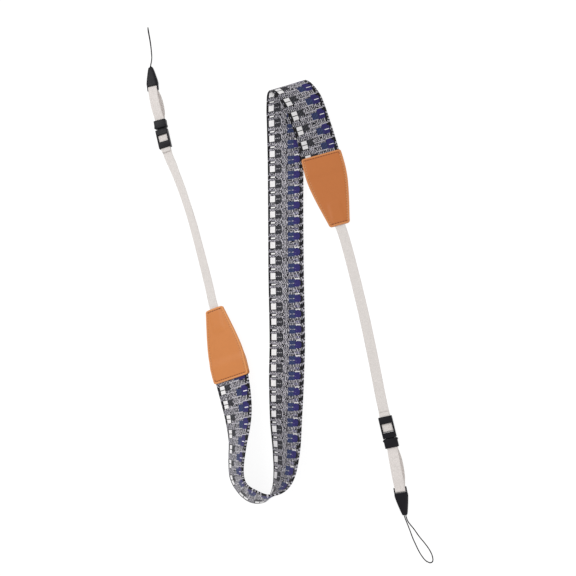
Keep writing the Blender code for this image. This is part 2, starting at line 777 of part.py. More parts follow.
def make_connector(end, frame, material):
    """The tapered connector with a bar and slot for the loop. Returns the frame at its tip."""
    name = f"connector_{end['name']}"
    slot_end = RING_BAR + RING_SLOT
    wide, tall = CONNECTOR_WIDTH / 2, CONNECTOR_HEIGHT / 2
    rings = [
        connector_ring(0, wide * 0.94, tall * 0.8),
        connector_ring(RING_ROUNDING, wide * 0.97, tall),
    ]
    for _, share, width, height in CONNECTOR_BODY:
        half_width = TIP_WIDTH / 2 + (wide - TIP_WIDTH / 2) * width
        half_height = TIP_HEIGHT / 2 + (tall - TIP_HEIGHT / 2) * height
        rings.append(connector_ring(slot_end + BODY_LENGTH * share, half_width, half_height))
    tip = slot_end + BODY_LENGTH + TIP_ROUNDING
    rings.append(connector_ring(tip, TIP_WIDTH * 0.36, TIP_HEIGHT * 0.36))
    obj = loft(name, rings, material)
    obj.matrix_world = in_metres(frame)
    passage = WEBBING_WIDTH / 2 + GAP
    top = CONNECTOR_HEIGHT + CUT_MARGIN
    slot = block("slot", (RING_BAR, -passage, -CUT_MARGIN), (slot_end, passage, top))
    change(obj, "DIFFERENCE", f"slot_{end['name']}", slot, frame)
    bar_half = ring_bar_height() / 2
    above = (connector_middle() + bar_half, top)
    below = (-CUT_MARGIN, connector_middle() - bar_half)
    for label, (low, high) in (("above", above), ("below", below)):
        mesh = block(label, (-CUT_MARGIN, -passage, low), (RING_BAR + CUT_MARGIN / 2, passage, high))
        change(obj, "DIFFERENCE", f"{label}_bar_{end['name']}", mesh, frame)
    return frame @ Matrix.Translation((tip, 0, connector_middle()))


def cord_points(end, tip):
    """The cord's centreline, from the connector's tip out, round and back to it."""
    reach = end["cord_reach"]
    heading = tip.to_3x3() @ Vector((1, 0, 0))
    flat = flat_frame(tip.translation.xy, math.atan2(heading.y, heading.x))
    level, table = tip.translation.z, CORD_DIAMETER / 2 + GAP
    out, back = [(GAP, CORD_SPLAY / 2, level)], [(GAP, -CORD_SPLAY / 2, level)]
    lean = math.radians(end["cord_lean"])
    for outwards, middle, half in end["cord_rows"]:
        falling = 1 - ramp(outwards, 0.02, 0.30)
        side, rise = half * reach * math.cos(lean), half * reach * math.sin(lean)
        lower = table + (level - table) * falling - rise * falling
        upper = table + (level - table) * falling + rise * (2 - falling)
        out.append((reach * outwards, reach * middle + side, lower))
        back.append((reach * outwards, reach * middle - side, upper))
    last = end["cord_rows"][-1]
    out.append((reach, reach * last[1], (out[-1][2] + back[-1][2]) / 2))
    rows = np.array(out + back[::-1])
    gaps = np.linalg.norm(np.diff(rows, axis=0), axis=1)
    steps = [max(1, round(length / CORD_POINT_SPACING)) for length in gaps]
    return to_world(flat, smooth_path(rows, steps))


def make_cord(end, tip, material):
    name = f"cord_{end['name']}"
    points = cord_points(end, tip)
    curve = bpy.data.curves.new(name, "CURVE")
    curve.dimensions = "3D"
    curve.bevel_depth = CORD_DIAMETER / 2 * MM
    curve.bevel_resolution = 2
    curve.use_fill_caps = True
    spline = curve.splines.new("POLY")
    spline.points.add(len(points) - 1)
    for point, place in zip(spline.points, points):
        point.co = (*(place * MM), 1.0)
    curve.materials.append(material)
    obj = bpy.data.objects.new(name, curve)
    bpy.context.scene.collection.objects.link(obj)
    return obj


def centre_on_origin():
    """Moves the strap so that the middle of its box, cords left out, is over the origin."""
    bpy.context.view_layer.update()
    graph = bpy.context.evaluated_depsgraph_get()
    corners = []
    for obj in bpy.data.objects:
        if obj.hide_render or obj.type != "MESH":
            continue
        evaluated = obj.evaluated_get(graph)
        corners.extend(evaluated.matrix_world @ Vector(c) for c in evaluated.bound_box)
    corners = np.array(corners)
    middle = (corners.min(axis=0) + corners.max(axis=0)) / 2
    shift = Matrix.Translation((-middle[0], -middle[1], -corners[:, 2].min()))
    for obj in bpy.data.objects:
        obj.matrix_world = shift @ obj.matrix_world


def main():
    clear_scene()
    materials = make_materials()
    make_band(materials)
    centres, aims, _ = band_stations()
    for end in ENDS:
        tab = tab_frame(end, centres[end["station"]], aims[end["station"]])
        for label, side in (("front", 1), ("back", -1)):
            make_leather(f"tab_{end['name']}_{label}", tab, side, materials["tan_leather"])
        buckle = make_webbing(end, tab, materials["ivory_webbing"])
        make_buckle_frame(end, buckle, materials["black_plastic"])
        plug = make_plug(end, buckle, materials["black_plastic"])
        connector = make_loop(end, plug, materials["ivory_webbing"])
        tip = make_connector(end, connector, materials["black_plastic"])
        make_cord(end, tip, materials["black_cord"])
    centre_on_origin()


main()
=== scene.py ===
"""Looks of a camera neck strap laid on a table.

Every soft piece is made again as a fine mesh along the same tables as the solids: the woven band and
its charted weave, the leathers with their stitches, the ivory webbings and the cords. The plastic
pieces are made again with finer edges. Sizes are millimetres in the part's first frame, and to_row
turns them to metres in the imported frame.
"""

import json
import math

import bmesh
import bpy
import numpy as np
from mathutils import Matrix, Vector

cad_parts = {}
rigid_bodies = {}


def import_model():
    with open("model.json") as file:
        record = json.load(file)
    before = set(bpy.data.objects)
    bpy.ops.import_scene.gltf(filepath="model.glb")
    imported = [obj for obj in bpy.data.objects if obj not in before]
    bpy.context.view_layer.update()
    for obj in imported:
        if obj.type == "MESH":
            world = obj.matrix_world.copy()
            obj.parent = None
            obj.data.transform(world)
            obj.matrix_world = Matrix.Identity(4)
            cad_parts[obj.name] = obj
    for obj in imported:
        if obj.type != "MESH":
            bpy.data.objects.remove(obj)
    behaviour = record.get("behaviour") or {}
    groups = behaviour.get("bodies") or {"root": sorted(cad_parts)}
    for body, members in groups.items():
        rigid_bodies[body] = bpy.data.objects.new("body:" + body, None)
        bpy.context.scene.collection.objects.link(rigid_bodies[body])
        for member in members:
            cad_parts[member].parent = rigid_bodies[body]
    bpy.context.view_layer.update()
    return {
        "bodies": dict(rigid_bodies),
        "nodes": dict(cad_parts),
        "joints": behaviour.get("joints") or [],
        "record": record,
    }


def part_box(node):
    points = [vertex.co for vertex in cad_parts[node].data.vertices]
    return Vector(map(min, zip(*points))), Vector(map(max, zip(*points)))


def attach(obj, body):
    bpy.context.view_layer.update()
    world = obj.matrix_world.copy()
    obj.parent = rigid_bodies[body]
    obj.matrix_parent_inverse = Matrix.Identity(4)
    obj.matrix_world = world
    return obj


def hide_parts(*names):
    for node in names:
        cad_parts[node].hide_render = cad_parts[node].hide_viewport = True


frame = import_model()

MM = 0.001
GAP = 0.3

# Woven band
BAND_WIDTH = 38.0
BAND_THICKNESS = 1.8
BAND_CHAMFER = 0.45
RUN_LENGTH = 400.0
FOLD_HEIGHT = 12.0
BAND_TUCK = 15.0
BAND_STEP = 4.5
BAND_LEAST_SLANT = 0.98

# Leather tabs
TAB_LENGTH = 74.0
TAB_WIDE = 41.6
TAB_NARROW = 20.0
LEATHER_THICKNESS = 1.3
SEAM_MARGIN = 1.6
FILLING_MARGIN = 1.0
FILLING_EASE = 8.0
TAB_ROWS = 20

# Ivory webbing
WEBBING_WIDTH = 10.0
WEBBING_THICKNESS = 0.9
WEBBING_TUCK = 18.0
WEBBING_STEP = 6.0
TAIL_LENGTH = 4.0
LEFT_WEBBING_LENGTH = 179.5
RIGHT_WEBBING_LENGTH = 191.5
LEFT_LOOP_LENGTH = 34.4
RIGHT_LOOP_LENGTH = 37.4
LEFT_LOOP_BOW = -2.2
RIGHT_LOOP_BOW = 2.0
WRAP_LEAD = 1.5
WRAP_POINTS = 9
TUCK_SHARES = (1, 0.66, 0.33)
TAB_RELEASE = 0.14
BUCKLE_APPROACH = (0.90, 0.99)

# Buckles
BUCKLE_HEIGHT = 5.6
RAIL_WIDTH = 1.2
COVER_THICKNESS = 1.2
COVER_LENGTH = 6.8
WINDOW_LENGTH = 9.2
WINDOW_LIP = 0.9
WRAP_SHARE = 0.70
RECEIVER_LENGTH = 4.6
CROSSBAR_LENGTH = 2.2
CROSSBAR_HEIGHT = 1.2
CROSSBAR_NOSE = 0.3
CROSSBAR_ROUNDING = 0.25
HEAD_LENGTH = 8.8
HEAD_WALL = 1.6
TONGUE_LENGTH = 4.8
TONGUE_WIDTH = 8.4
TONGUE_HEIGHT = 2.0
TONGUE_PLAY = 0.9
TONGUE_ROUNDING = 0.3
LUG_RADIUS = 1.1
LUG_HEIGHT = BUCKLE_HEIGHT * 0.6
LUG_STAND_OUT = 0.7
LUG_SETBACK = 0.4
LEFT_PLUG_GAP = 1.6
RIGHT_PLUG_GAP = 0.35
BUCKLE_ROUNDING = 0.6
CUT_MARGIN = 1.0

# Connectors
CONNECTOR_WIDTH = 12.8
CONNECTOR_HEIGHT = 5.2
RING_BAR = 1.9
RING_BAR_SHARE = 0.32
RING_MOUTH = RING_BAR * 0.2
RING_SLOT = 3.2
BODY_LENGTH = 20.0
TIP_WIDTH = 5.0
TIP_HEIGHT = 3.4
RING_ROUNDING = 0.6
TIP_ROUNDING = 0.7

# Cord loops
CORD_DIAMETER = 1.0
CORD_SPLAY = 1.5
LEFT_CORD_REACH = 44.8
RIGHT_CORD_REACH = 46.0
CORD_POINT_SPACING = 2.5

# The band's stations, from the left tab round the lower turn, up the long run, over the fold and
# down to the right tab. They follow the edge with the white blocks. The columns are the station,
# across, along, azimuth, elevation and lift. Across is a share of the band's width and along a
# share of the long run's length. Azimuth and elevation aim from the indigo edge to the white one,
# and lift is a share of the fold's height.
BAND_ROUTE = (
    ("left_tab", -1.920, -0.2400, 196.7, -14, 0.00),
    ("leg_upper", -1.820, -0.2800, 193.0, -20, 0.00),
    ("leg_middle", -1.680, -0.3280, 188.0, -32, 0.00),
    ("leg_lower", -1.580, -0.3800, 182.0, -47, 0.00),
    ("leg_foot", -1.580, -0.4300, 180.0, -52, 0.00),
    ("turn_in", -1.530, -0.4725, 194.0, -53, 0.00),
    ("turn_left", -1.290, -0.5075, 220.0, -56, 0.00),
    ("turn_bottom", -0.950, -0.5275, 236.0, -58, 0.00),
    ("turn_right", -0.580, -0.5225, 224.0, -66, 0.00),
    ("turn_out", -0.415, -0.4950, 190.0, -60, 0.00),
    ("run_foot", -0.370, -0.4550, 176.0, -47, 0.00),
    ("run_low", -0.395, -0.4000, 178.0, -35, 0.00),
    ("run_relaxing", -0.470, -0.3250, 180.0, -23, 0.00),
    ("run_settled", -0.500, -0.2250, 180.0, -13, 0.00),
    ("run_lower_middle", -0.490, -0.1225, 180.0, -10, 0.00),
    ("run_middle", -0.525, 0.0350, 180.0, -9, 0.00),
    ("run_upper_middle", -0.540, 0.2000, 180.5, -8, 0.00),
    ("run_high", -0.555, 0.3250, 182.0, -4, 0.00),
    ("run_top", -0.580, 0.4150, 186.0, -1, 0.00),
    ("fold_in", -0.590, 0.4680, 189.5, 0, 0.05),
    ("fold_top", -0.515, 0.5030, 192.0, 0, 0.46),
    ("fold_out", -0.262, 0.4880, 194.0, 4, 0.80),
    ("arm_upper", 0.050, 0.4400, 198.0, 9, 0.58),
    ("arm_lower", 0.250, 0.3820, 197.0, 9, 0.24),
    ("right_tab", 0.440, 0.3195, 194.8, 8, 0.05),
)

# The outline of a leather tab, from its wide end to its narrow one: the share of its length, and
# the half width as a share of half the wide end.
TAB_OUTLINE = (
    ("wide_end", 0.00, 0.970),
    ("wide_corner", 0.05, 0.990),
    ("hip", 0.25, 0.995),
    ("shoulder", 0.40, 0.955),
    ("waist", 0.60, 0.820),
    ("neck", 0.80, 0.655),
    ("narrow_end", 1.00, None),
)

# A connector's body, from the slot to its tip: the share of its length, and its width and height
# as shares of the way from the tip's size to the full size.
CONNECTOR_BODY = (
    ("base", 0.00, 0.96, 1.00),
    ("shoulder", 0.16, 1.00, 1.00),
    ("waist", 0.50, 0.66, 0.85),
    ("neck", 0.84, 0.24, 0.45),
    ("tip", 1.00, 0.00, 0.00),
)

# The connector's end beside its bar: shares of the ring's rounding, and of the width and height
CONNECTOR_END = (
    ("face", 0.00, 0.94, 0.80),
    ("rim", 1.00, 0.97, 1.00),
)
CONNECTOR_TIP_FACE = 0.36
CONNECTOR_STEPS = (3, 3, 4, 8, 8, 6, 4)
CONNECTOR_ROUNDNESS = (0.45, 0.55)

# A loop's two layers, as shares of its length. The upper one's swell is a share of its rise. The
# lower one's stray is a share of the bow, and sunk is how far it has gone down to the table.
LOOP_RISE = 0.28
LOOP_UPPER = ((0.10, 0.20), (0.30, 0.75), (0.55, 1.00), (0.80, 0.65), (0.95, 0.15))
LOOP_LOWER = (
    (0.94, 0.15, 0.25),
    (0.78, 0.70, 1.00),
    (0.50, 1.00, 1.00),
    (0.22, 0.70, 1.00),
    (0.07, 0.15, 0.30),
)

# How each end of the strap lies. A webbing row holds the share of its length, its turn away from
# the tab's heading and its roll. A bow is how far a loop's lower layer strays sideways. A cord row
# holds shares of the cord's reach from the connector's tip: how far out it is, how far sideways
# the middle of the two strands is, and half the distance between them. The cord's lean is the
# angle at which the plane of its two strands stands on the table.
ENDS = (
    {
        "name": "left",
        "station": 0,
        "white_side": 1,
        "webbing_length": LEFT_WEBBING_LENGTH,
        "webbing_rows": (
            (0.00, 1.5, -14.0),
            (0.12, -1.3, -16.0),
            (0.45, -0.2, -22.0),
            (0.62, 3.0, -26.0),
            (0.82, 6.5, -22.0),
            (0.92, 10.0, -8.0),
            (1.00, -2.0, 0.0),
        ),
        "plug_gap": LEFT_PLUG_GAP,
        "plug_turn": -4.0,
        "loop_length": LEFT_LOOP_LENGTH,
        "loop_turn": 4.0,
        "loop_bow": LEFT_LOOP_BOW,
        "connector_turn": -6.5,
        "cord_reach": LEFT_CORD_REACH,
        "cord_lean": 66.0,
        "cord_rows": (
            (0.05, -0.003, 0.0160),
            (0.14, -0.028, 0.0190),
            (0.25, -0.048, 0.0240),
            (0.38, -0.056, 0.0300),
            (0.52, -0.060, 0.0370),
            (0.66, -0.058, 0.0430),
            (0.79, -0.052, 0.0490),
            (0.88, -0.046, 0.0510),
            (0.945, -0.042, 0.0500),
        ),
    },
    {
        "name": "right",
        "station": -1,
        "white_side": -1,
        "webbing_length": RIGHT_WEBBING_LENGTH,
        "webbing_rows": (
            (0.00, 6.0, -8.0),
            (0.06, 1.0, -9.0),
            (0.16, -0.3, -10.0),
            (0.38, -1.6, -10.0),
            (0.60, -3.3, -8.0),
            (0.85, -4.3, -4.0),
            (1.00, -1.5, 0.0),
        ),
        "plug_gap": RIGHT_PLUG_GAP,
        "plug_turn": 0.0,
        "loop_length": RIGHT_LOOP_LENGTH,
        "loop_turn": -3.0,
        "loop_bow": RIGHT_LOOP_BOW,
        "connector_turn": 0.0,
        "cord_reach": RIGHT_CORD_REACH,
        "cord_lean": 0.0,
        "cord_rows": (
            (0.05, 0.003, 0.0150),
            (0.15, 0.022, 0.0170),
            (0.30, 0.076, 0.0435),
            (0.46, 0.129, 0.0685),
            (0.61, 0.191, 0.0935),
            (0.74, 0.242, 0.1070),
            (0.85, 0.280, 0.1020),
            (0.94, 0.308, 0.0770),
            (0.985, 0.325, 0.0400),
        ),
    },
)

# How the photograph was taken
CAMERA_DISTANCE = 800.0
CAMERA_TILT = 14.0
CAMERA_FROM = -25.0
CAMERA_LENS = 50.0
CAMERA_SENSOR = 36.0
CAMERA_CLIP = 0.05

# The studio, in metres and watts. The lights' columns are the name, place, size and power, and each
# light looks at the origin.
WORLD_STRENGTH = 0.72
LIGHTS = (
    ("key", (-0.9, 0.7, 1.5), 0.9, 11.0),
    ("fill", (1.0, -0.8, 1.3), 1.2, 4.0),
)
FLOOR_REACH = 3.0
FLOOR_TONES = (0.15, 0.17)
FLOOR_GLOW = 0.90

# The shader's sockets that a look's nodes feed
SOCKETS = {"colour": "Base Color", "roughness": "Roughness", "normal": "Normal"}

# Fine meshes of the band and the webbings. Each ivory piece has its colour and its random seed.
BAND_FINE_PITCH = 0.25
BAND_CELLS_ACROSS = 40
BAND_SEED = 11
BAND_UNEVENNESS = 0.015
WEBBING_CELL = 0.62
WEBBING_CELLS_ACROSS = 18
IVORY_PIECES = {"webbing": ("e4deda", 5), "loop": ("e6dfdb", 6)}
IVORY_SHADES = (-0.05, 0.03)
IVORY_UNDER_SHADE = 0.05
IVORY_RELIEF = 0.05
EDGE_SEGMENTS = 4
EDGE_ROUNDNESS = 0.4

# Fine meshes of the leathers and their stitches. The seal is where the two leathers close: its
# fade inwards from the edge and its start from the wide end. The highlight is a paler line of
# painted highlight near the edge, on the inner side too, and the groove the line that the
# stitches have pressed in, painted darker as shade.
OUTLINE_EASE = 4.0
LEATHER_SEAL = 0.10
LEATHER_INSETS = (0.0, 0.1, 0.3, 0.6, 1.0, 1.5, 1.9, 2.15, 2.4, 2.65, 2.9, 3.5, 4.6, 6.2)
LEATHER_INNER_COLUMNS = 12
LEATHER_INNER_ROWS = 44
LEATHER_EDGE_RADIUS = 1.1
LEATHER_EDGE_DROP = 0.5
LEATHER_CORNER = 2.4
LEATHER_GROOVE = 0.28
LEATHER_SHARP_ANGLE = 50.0
SEAL_FADE = (0.1, 0.6)
SEAL_START = (2, 5)
HIGHLIGHT_INSET = 0.8
HIGHLIGHT_SPREAD = 0.7
GROOVE_SPREAD = 0.5
GROOVE_SHADE = 0.7
GROOVE_SHADE_SPREAD = 0.42
INNER_PAINTED_LIGHT = (0.7, 0.0, 0.0)
STITCH_INSET = 2.4
STITCH_PITCH = 2.7
STITCH_LENGTH = 2.0
STITCH_DIAMETERS = {"ends": 0.9, "sides": 0.5}
STITCH_SIDES = 8
STITCH_RINGS = (0.0, 0.12, 0.32, 0.68, 0.88, 1.0)
STITCH_TIP = 0.2
STITCH_ARCH = 0.55
STITCH_SINK = 0.3
STITCH_FLATNESS = 0.8
SEAM_CORNER = 0.6
SEAM_POINTS = {"side": 60, "wide_end": 24, "narrow_end": 14}
SEAM_END_REACH = 0.3

# The tail's seams: the share of its length, and how far each one is above the webbing's fold
TAIL_SEAMS = ((0.62, 0.45), (0.32, 1.0))
TAIL_STITCHES = 5
TAIL_STITCH_START = -3.6
TAIL_STITCH_PITCH = 1.5
TAIL_STITCH_LENGTH = 1.05
TAIL_STITCH_DIAMETER = 0.4

# Fine meshes of the plastic pieces and the cords
PLASTIC_EDGE = 0.16
PLASTIC_EDGE_SEGMENTS = 2
PLASTIC_EDGE_ANGLE = 40.0
PLASTIC_SHARP_ANGLE = 32.0
ROUNDING_SEGMENTS = 3
LUG_SIDES = 28
FINE_CONNECTOR_SIDES = 40
CORD_SIDES = 16
CORD_ROW = 0.22
CORD_FALL = (0.02, 0.30)
CORD_FINENESS = 6
BRAID_PITCH = 1.5
BRAID_STRANDS = 3
BRAID_DEPTH = 0.045
BRAID_MIDDLE = 0.6
# The braid's valleys are painted darker as shade, down to this share of the cord's colour
BRAID_PAINTED_SHADE = 0.35

# Yarn kinds of the woven band: colour, how proud the float stands in mm, and how much its shade
# varies from cell to cell.
YARNS = {
    "white": ("f4f2f3", 0.10, 0.02),
    "black": ("0e0c13", 0.00, 0.25),
    "charcoal": ("3c3c42", 0.04, 0.20),
    "slate": ("35406a", 0.05, 0.18),
    "indigo": ("302a68", 0.06, 0.18),
    "light": ("c4c1c8", 0.03, 0.10),
    "grey": ("8f8d97", 0.01, 0.18),
    "dark": ("45434f", -0.02, 0.25),
    "violet": ("59518a", 0.02, 0.15),
    "navy": ("262c4c", 0.03, 0.20),
}

# The charted repeat. Its motifs' columns are the kind, the first and last column and the first and
# last row. The kind is a yarn or a mixture. Columns are counted from the edge with the white blocks
# and rows up the band, on over the repeat's end. In a ticked mixture each tick is a few rows tall.
REPEAT_ROWS = 20
TICK_ROWS = 3
TICKED_KINDS = ("twill", "soft_twill", "checker")
MIXTURES = {
    "twill": ("light", "black", "grey", "black"),
    "soft_twill": ("light", "black", "grey", "charcoal"),
    "checker": ("black", "light"),
    "dense": ("charcoal", "charcoal", "charcoal", "black"),
    "blue": ("slate", "slate", "slate", "navy"),
}
RUN_MOTIFS = (
    ("twill", 0, 39, 0, 19),
    ("soft_twill", 0, 2, 0, 19),
    ("black", 0, 2, 18, 21),
    ("black", 0, 1, 6, 15),
    ("black", 2, 7, 6, 6),
    ("white", 2, 7, 7, 14),
    ("checker", 2, 7, 16, 17),
    ("checker", 2, 7, 23, 24),
    ("checker", 8, 14, 17, 23),
    ("soft_twill", 9, 14, 19, 21),
    ("grey", 3, 7, 17, 17),
    ("black", 3, 7, 18, 18),
    ("white", 3, 7, 19, 20),
    ("black", 3, 7, 21, 21),
    ("grey", 3, 7, 22, 22),
    ("dense", 8, 14, 5, 15),
    ("dense", 15, 15, 6, 14),
    ("light", 9, 9, 10, 10),
    ("light", 11, 11, 10, 10),
    ("light", 13, 13, 10, 10),
    ("soft_twill", 16, 22, 0, 19),
    ("checker", 16, 21, 19, 21),
    ("checker", 17, 20, 18, 22),
    ("checker", 16, 21, 9, 11),
    ("checker", 17, 20, 8, 12),
    ("twill", 23, 35, 0, 19),
    ("grey", 24, 28, 9, 9),
    ("dark", 24, 28, 10, 10),
    ("blue", 23, 30, 15, 25),
    ("light", 24, 24, 20, 20),
    ("grey", 26, 26, 20, 20),
    ("light", 28, 28, 20, 20),
    ("grey", 29, 29, 20, 20),
    ("indigo", 30, 35, 16, 24),
    ("indigo", 36, 36, 17, 23),
    ("indigo", 29, 29, 18, 19),
    ("violet", 31, 31, 19, 19),
    ("violet", 30, 30, 10, 10),
    ("indigo", 32, 32, 9, 11),
    ("indigo", 34, 34, 9, 10),
    ("white", 31, 36, 6, 6),
    ("soft_twill", 36, 39, 3, 17),
    ("black", 37, 38, 17, 23),
    ("black", 36, 38, 8, 12),
    ("black", 37, 37, 7, 13),
    ("charcoal", 39, 39, 0, 19),
    ("black", 39, 39, 7, 13),
    ("light", 39, 39, 3, 5),
    ("light", 39, 39, 15, 16),
)
LEG_MOTIFS = (
    ("twill", 0, 39, 0, 19),
    ("soft_twill", 0, 2, 0, 19),
    ("black", 0, 2, 4, 15),
    ("grey", 0, 0, 9, 10),
    ("black", 3, 8, 3, 3),
    ("white", 3, 8, 4, 8),
    ("black", 3, 8, 9, 9),
    ("white", 3, 8, 10, 14),
    ("black", 4, 8, 15, 15),
    ("grey", 4, 9, 18, 18),
    ("checker", 3, 9, 21, 22),
    ("dense", 9, 15, 4, 11),
    ("checker", 9, 15, 16, 18),
    ("light", 17, 21, 7, 7),
    ("checker", 17, 21, 5, 9),
    ("light", 10, 22, 15, 15),
    ("light", 16, 28, 2, 2),
    ("light", 26, 37, 1, 1),
    ("light", 18, 30, 10, 10),
    ("light", 30, 37, 9, 9),
    ("checker", 17, 36, 6, 7),
    ("blue", 23, 29, 13, 21),
    ("indigo", 30, 37, 10, 22),
    ("white", 32, 36, 17, 17),
    ("black", 36, 39, 10, 12),
    ("black", 37, 39, 19, 23),
    ("black", 36, 38, 4, 6),
    ("black", 38, 39, 13, 15),
    ("light", 38, 39, 8, 8),
    ("grey", 39, 39, 0, 1),
)

# How many of the ticks are strays, of what yarns, and how much painted shade darkens the leg beyond
# the fold, over which repeats
MOTTLE_SHARE = 0.14
MOTTLE_YARNS = ("light", "black", "grey", "black")
FAR_LEG_PAINTED_SHADE = 0.80
FAR_LEG_REPEATS = (34.5, 37.5)

# How many repeats of the weave lie between the left tab and a share of the band's length
WEAVE_COUNT = (
    ("left_tab", 0.000, -0.05),
    ("leg_lower", 0.115, 4.68),
    ("leg_foot", 0.160, 6.80),
    ("run_foot", 0.277, 11.52),
    ("run_settled", 0.370, 15.54),
    ("run_middle", 0.560, 23.52),
    ("run_high", 0.757, 31.52),
    ("run_top", 0.835, 34.52),
    ("fold_out", 0.904, 37.48),
    ("arm", 0.982, 40.62),
    ("right_tab", 1.000, 41.36),
)


def smooth_path(rows, steps):
    """A Catmull-Rom curve through the rows of an array, with the given steps in each interval."""
    rows = np.asarray(rows, float)
    ends = np.vstack([2 * rows[0] - rows[1], rows, 2 * rows[-1] - rows[-2]])
    found = []
    for i, count in enumerate(steps):
        before, start, end, after = ends[i : i + 4]
        for t in np.arange(count) / count:
            found.append(
                0.5
                * (
                    2 * start
                    + (end - before) * t
                    + (2 * before - 5 * start + 4 * end - after) * t**2
                    + (3 * start - before - 3 * end + after) * t**3
                )
            )
    found.append(rows[-1])
    return np.array(found)


def unit(vectors):
    vectors = np.asarray(vectors, float)
    return vectors / np.linalg.norm(vectors, axis=-1, keepdims=True)


def rest_height(half_width, half_thickness, roll):
    """How high a rolled strap's centre is when its lower edge touches the table."""
    roll = math.radians(roll)
    return abs(math.sin(roll)) * half_width + abs(math.cos(roll)) * half_thickness


def band_stations():
    """Centres, across directions and widths of the band, from the left tab to the right one."""
    rows = []
    for _, across, along, azimuth, elevation, lift in BAND_ROUTE:
        turn, tilt = math.radians(azimuth), math.radians(elevation)
        aim = np.array(
            [math.cos(turn) * math.cos(tilt), math.sin(turn) * math.cos(tilt), math.sin(tilt)]
        )
        rest = rest_height(BAND_WIDTH / 2, BAND_THICKNESS / 2, elevation)
        edge = rest + BAND_WIDTH / 2 * aim[2] + lift * FOLD_HEIGHT
        rows.append([across * BAND_WIDTH, along * RUN_LENGTH, edge, *aim])
    rows = np.array(rows)
    for end in ENDS:
        row = rows[end["station"]]
        for _ in range(4):
            lowest = tab_lowest(tab_frame(end, row[:3] - row[3:] * BAND_WIDTH / 2, row[3:]))
            row[2] -= min(0.0, lowest)
    reach = np.linalg.norm(np.diff(rows[:, :3], axis=0), axis=1)
    steps = [max(3, math.ceil(length / BAND_STEP)) for length in reach]
    path = smooth_path(rows, steps)
    edges, aims = path[:, :3], unit(path[:, 3:])
    middle = edges - aims * BAND_WIDTH / 2
    slant = np.linalg.norm(np.cross(unit(np.gradient(middle, axis=0)), aims), axis=1)
    widths = BAND_WIDTH / np.maximum(slant, BAND_LEAST_SLANT)
    return edges - aims * widths[:, None] / 2, aims, widths


def tab_frame(end, centre, aim):
    """The frame at a tab's wide end. The tab rolls with the band and pitches until its tip rests."""
    y_axis = Vector(aim * end["white_side"]).normalized()
    x_axis = y_axis.cross(Vector((0, 0, 1))).normalized()
    z_axis = x_axis.cross(y_axis)
    turn = Matrix((x_axis, y_axis, z_axis)).transposed().to_4x4()
    roll = math.degrees(math.asin(y_axis.z))
    tip_half = tab_filling(TAB_LENGTH, 0) + LEATHER_THICKNESS
    drop = centre[2] - rest_height(TAB_NARROW / 2, tip_half, roll)
    pitch = Matrix.Rotation(math.asin(drop / TAB_LENGTH), 4, "Y")
    return Matrix.Translation(Vector(centre)) @ turn @ pitch


def tab_lowest(frame):
    """The lowest height on the tab's underside."""
    heights = []
    for i in range(TAB_ROWS + 1):
        share = i / TAB_ROWS
        for side in (-1, 1):
            y = side * tab_half_width(share)
            x = TAB_LENGTH * share
            heights.append((frame @ Vector((x, y, -tab_filling(x, y) - LEATHER_THICKNESS))).z)
    return min(heights)


def to_world(frame, points):
    return np.array([frame @ Vector(point) for point in points])


def tab_half_width(share):
    """Half the tab's width at a share of its length, read from its outline."""
    narrow = TAB_NARROW / TAB_WIDE
    shares = [row[1] for row in TAB_OUTLINE]
    halves = [narrow if row[2] is None else row[2] for row in TAB_OUTLINE]
    return TAB_WIDE / 2 * float(np.interp(share, shares, halves))


def ramp(value, start, end):
    """0 before start and 1 after end, smooth between them."""
    t = min(1.0, max(0.0, (value - start) / (end - start)))
    return t * t * (3 - 2 * t)


def tab_filling(x, y):
    """Half the thickness of what lies between the two leathers at a point of the tab."""
    band_end = BAND_TUCK + FILLING_MARGIN
    band = (1 - ramp(x, band_end, band_end + FILLING_EASE)) * (BAND_THICKNESS / 2 + GAP / 2)
    start = TAB_LENGTH - WEBBING_TUCK - FILLING_MARGIN
    strap_edge = WEBBING_WIDTH / 2 + GAP
    beside = 1 - ramp(abs(y), strap_edge, strap_edge + SEAM_MARGIN)
    strap = ramp(x, start - FILLING_EASE, start) * beside * (WEBBING_THICKNESS / 2 + GAP / 2)
    return GAP / 2 + max(band, strap)


def crossbar_levels():
    """Heights of a strap's lower and upper layer where it wraps a bar, and of the bar's middle."""
    upper = BUCKLE_HEIGHT - COVER_THICKNESS - GAP - WEBBING_THICKNESS / 2
    clear = WEBBING_THICKNESS / 2 + GAP
    middle = upper - clear - CROSSBAR_HEIGHT / 2
    return middle - CROSSBAR_HEIGHT / 2 - clear, upper, middle


def half_turn(x, direction):
    """Points of a strap's half turn round a bar, from its lower layer to its upper one."""
    lower, upper, middle = crossbar_levels()
    radius = (upper - lower) / 2
    angles = np.radians(np.linspace(-90, 90, WRAP_POINTS))
    return [(x + direction * radius * math.cos(a), 0, middle + radius * math.sin(a)) for a in angles]


def heading_path(end, start, heading):
    """Positions, headings and rolls along an end's webbing, by following its turns."""
    length = end["webbing_length"]
    count = math.ceil(length / WEBBING_STEP)
    shares = np.linspace(0, 1, count + 1)
    columns = np.array(end["webbing_rows"])
    turns = smooth_columns(shares, columns[:, 0], columns[:, 1])
    rolls = smooth_columns(shares, columns[:, 0], columns[:, 2])
    headings = heading + np.radians(turns)
    points = [np.array(start, float)]
    for first, second in zip(headings, headings[1:]):
        aim = (first + second) / 2
        points.append(points[-1] + length / count * np.array([math.cos(aim), math.sin(aim)]))
    return np.array(points), headings, rolls


def smooth_columns(shares, known, values):
    """Values between table rows, eased so that the strap has no kink at a row."""
    found = []
    for share in shares:
        i = min(len(known) - 2, int(np.searchsorted(known, share, side="right")) - 1)
        t = ramp(share, known[i], known[i + 1])
        found.append(values[i] + (values[i + 1] - values[i]) * t)
    return np.array(found)


def flat_frame(position, heading):
    return Matrix.Translation((*position, 0)) @ Matrix.Rotation(heading, 4, "Z")


def buckle_half_width():
    return WEBBING_WIDTH / 2 + GAP + RAIL_WIDTH


def frame_length():
    return COVER_LENGTH + WINDOW_LENGTH + RECEIVER_LENGTH


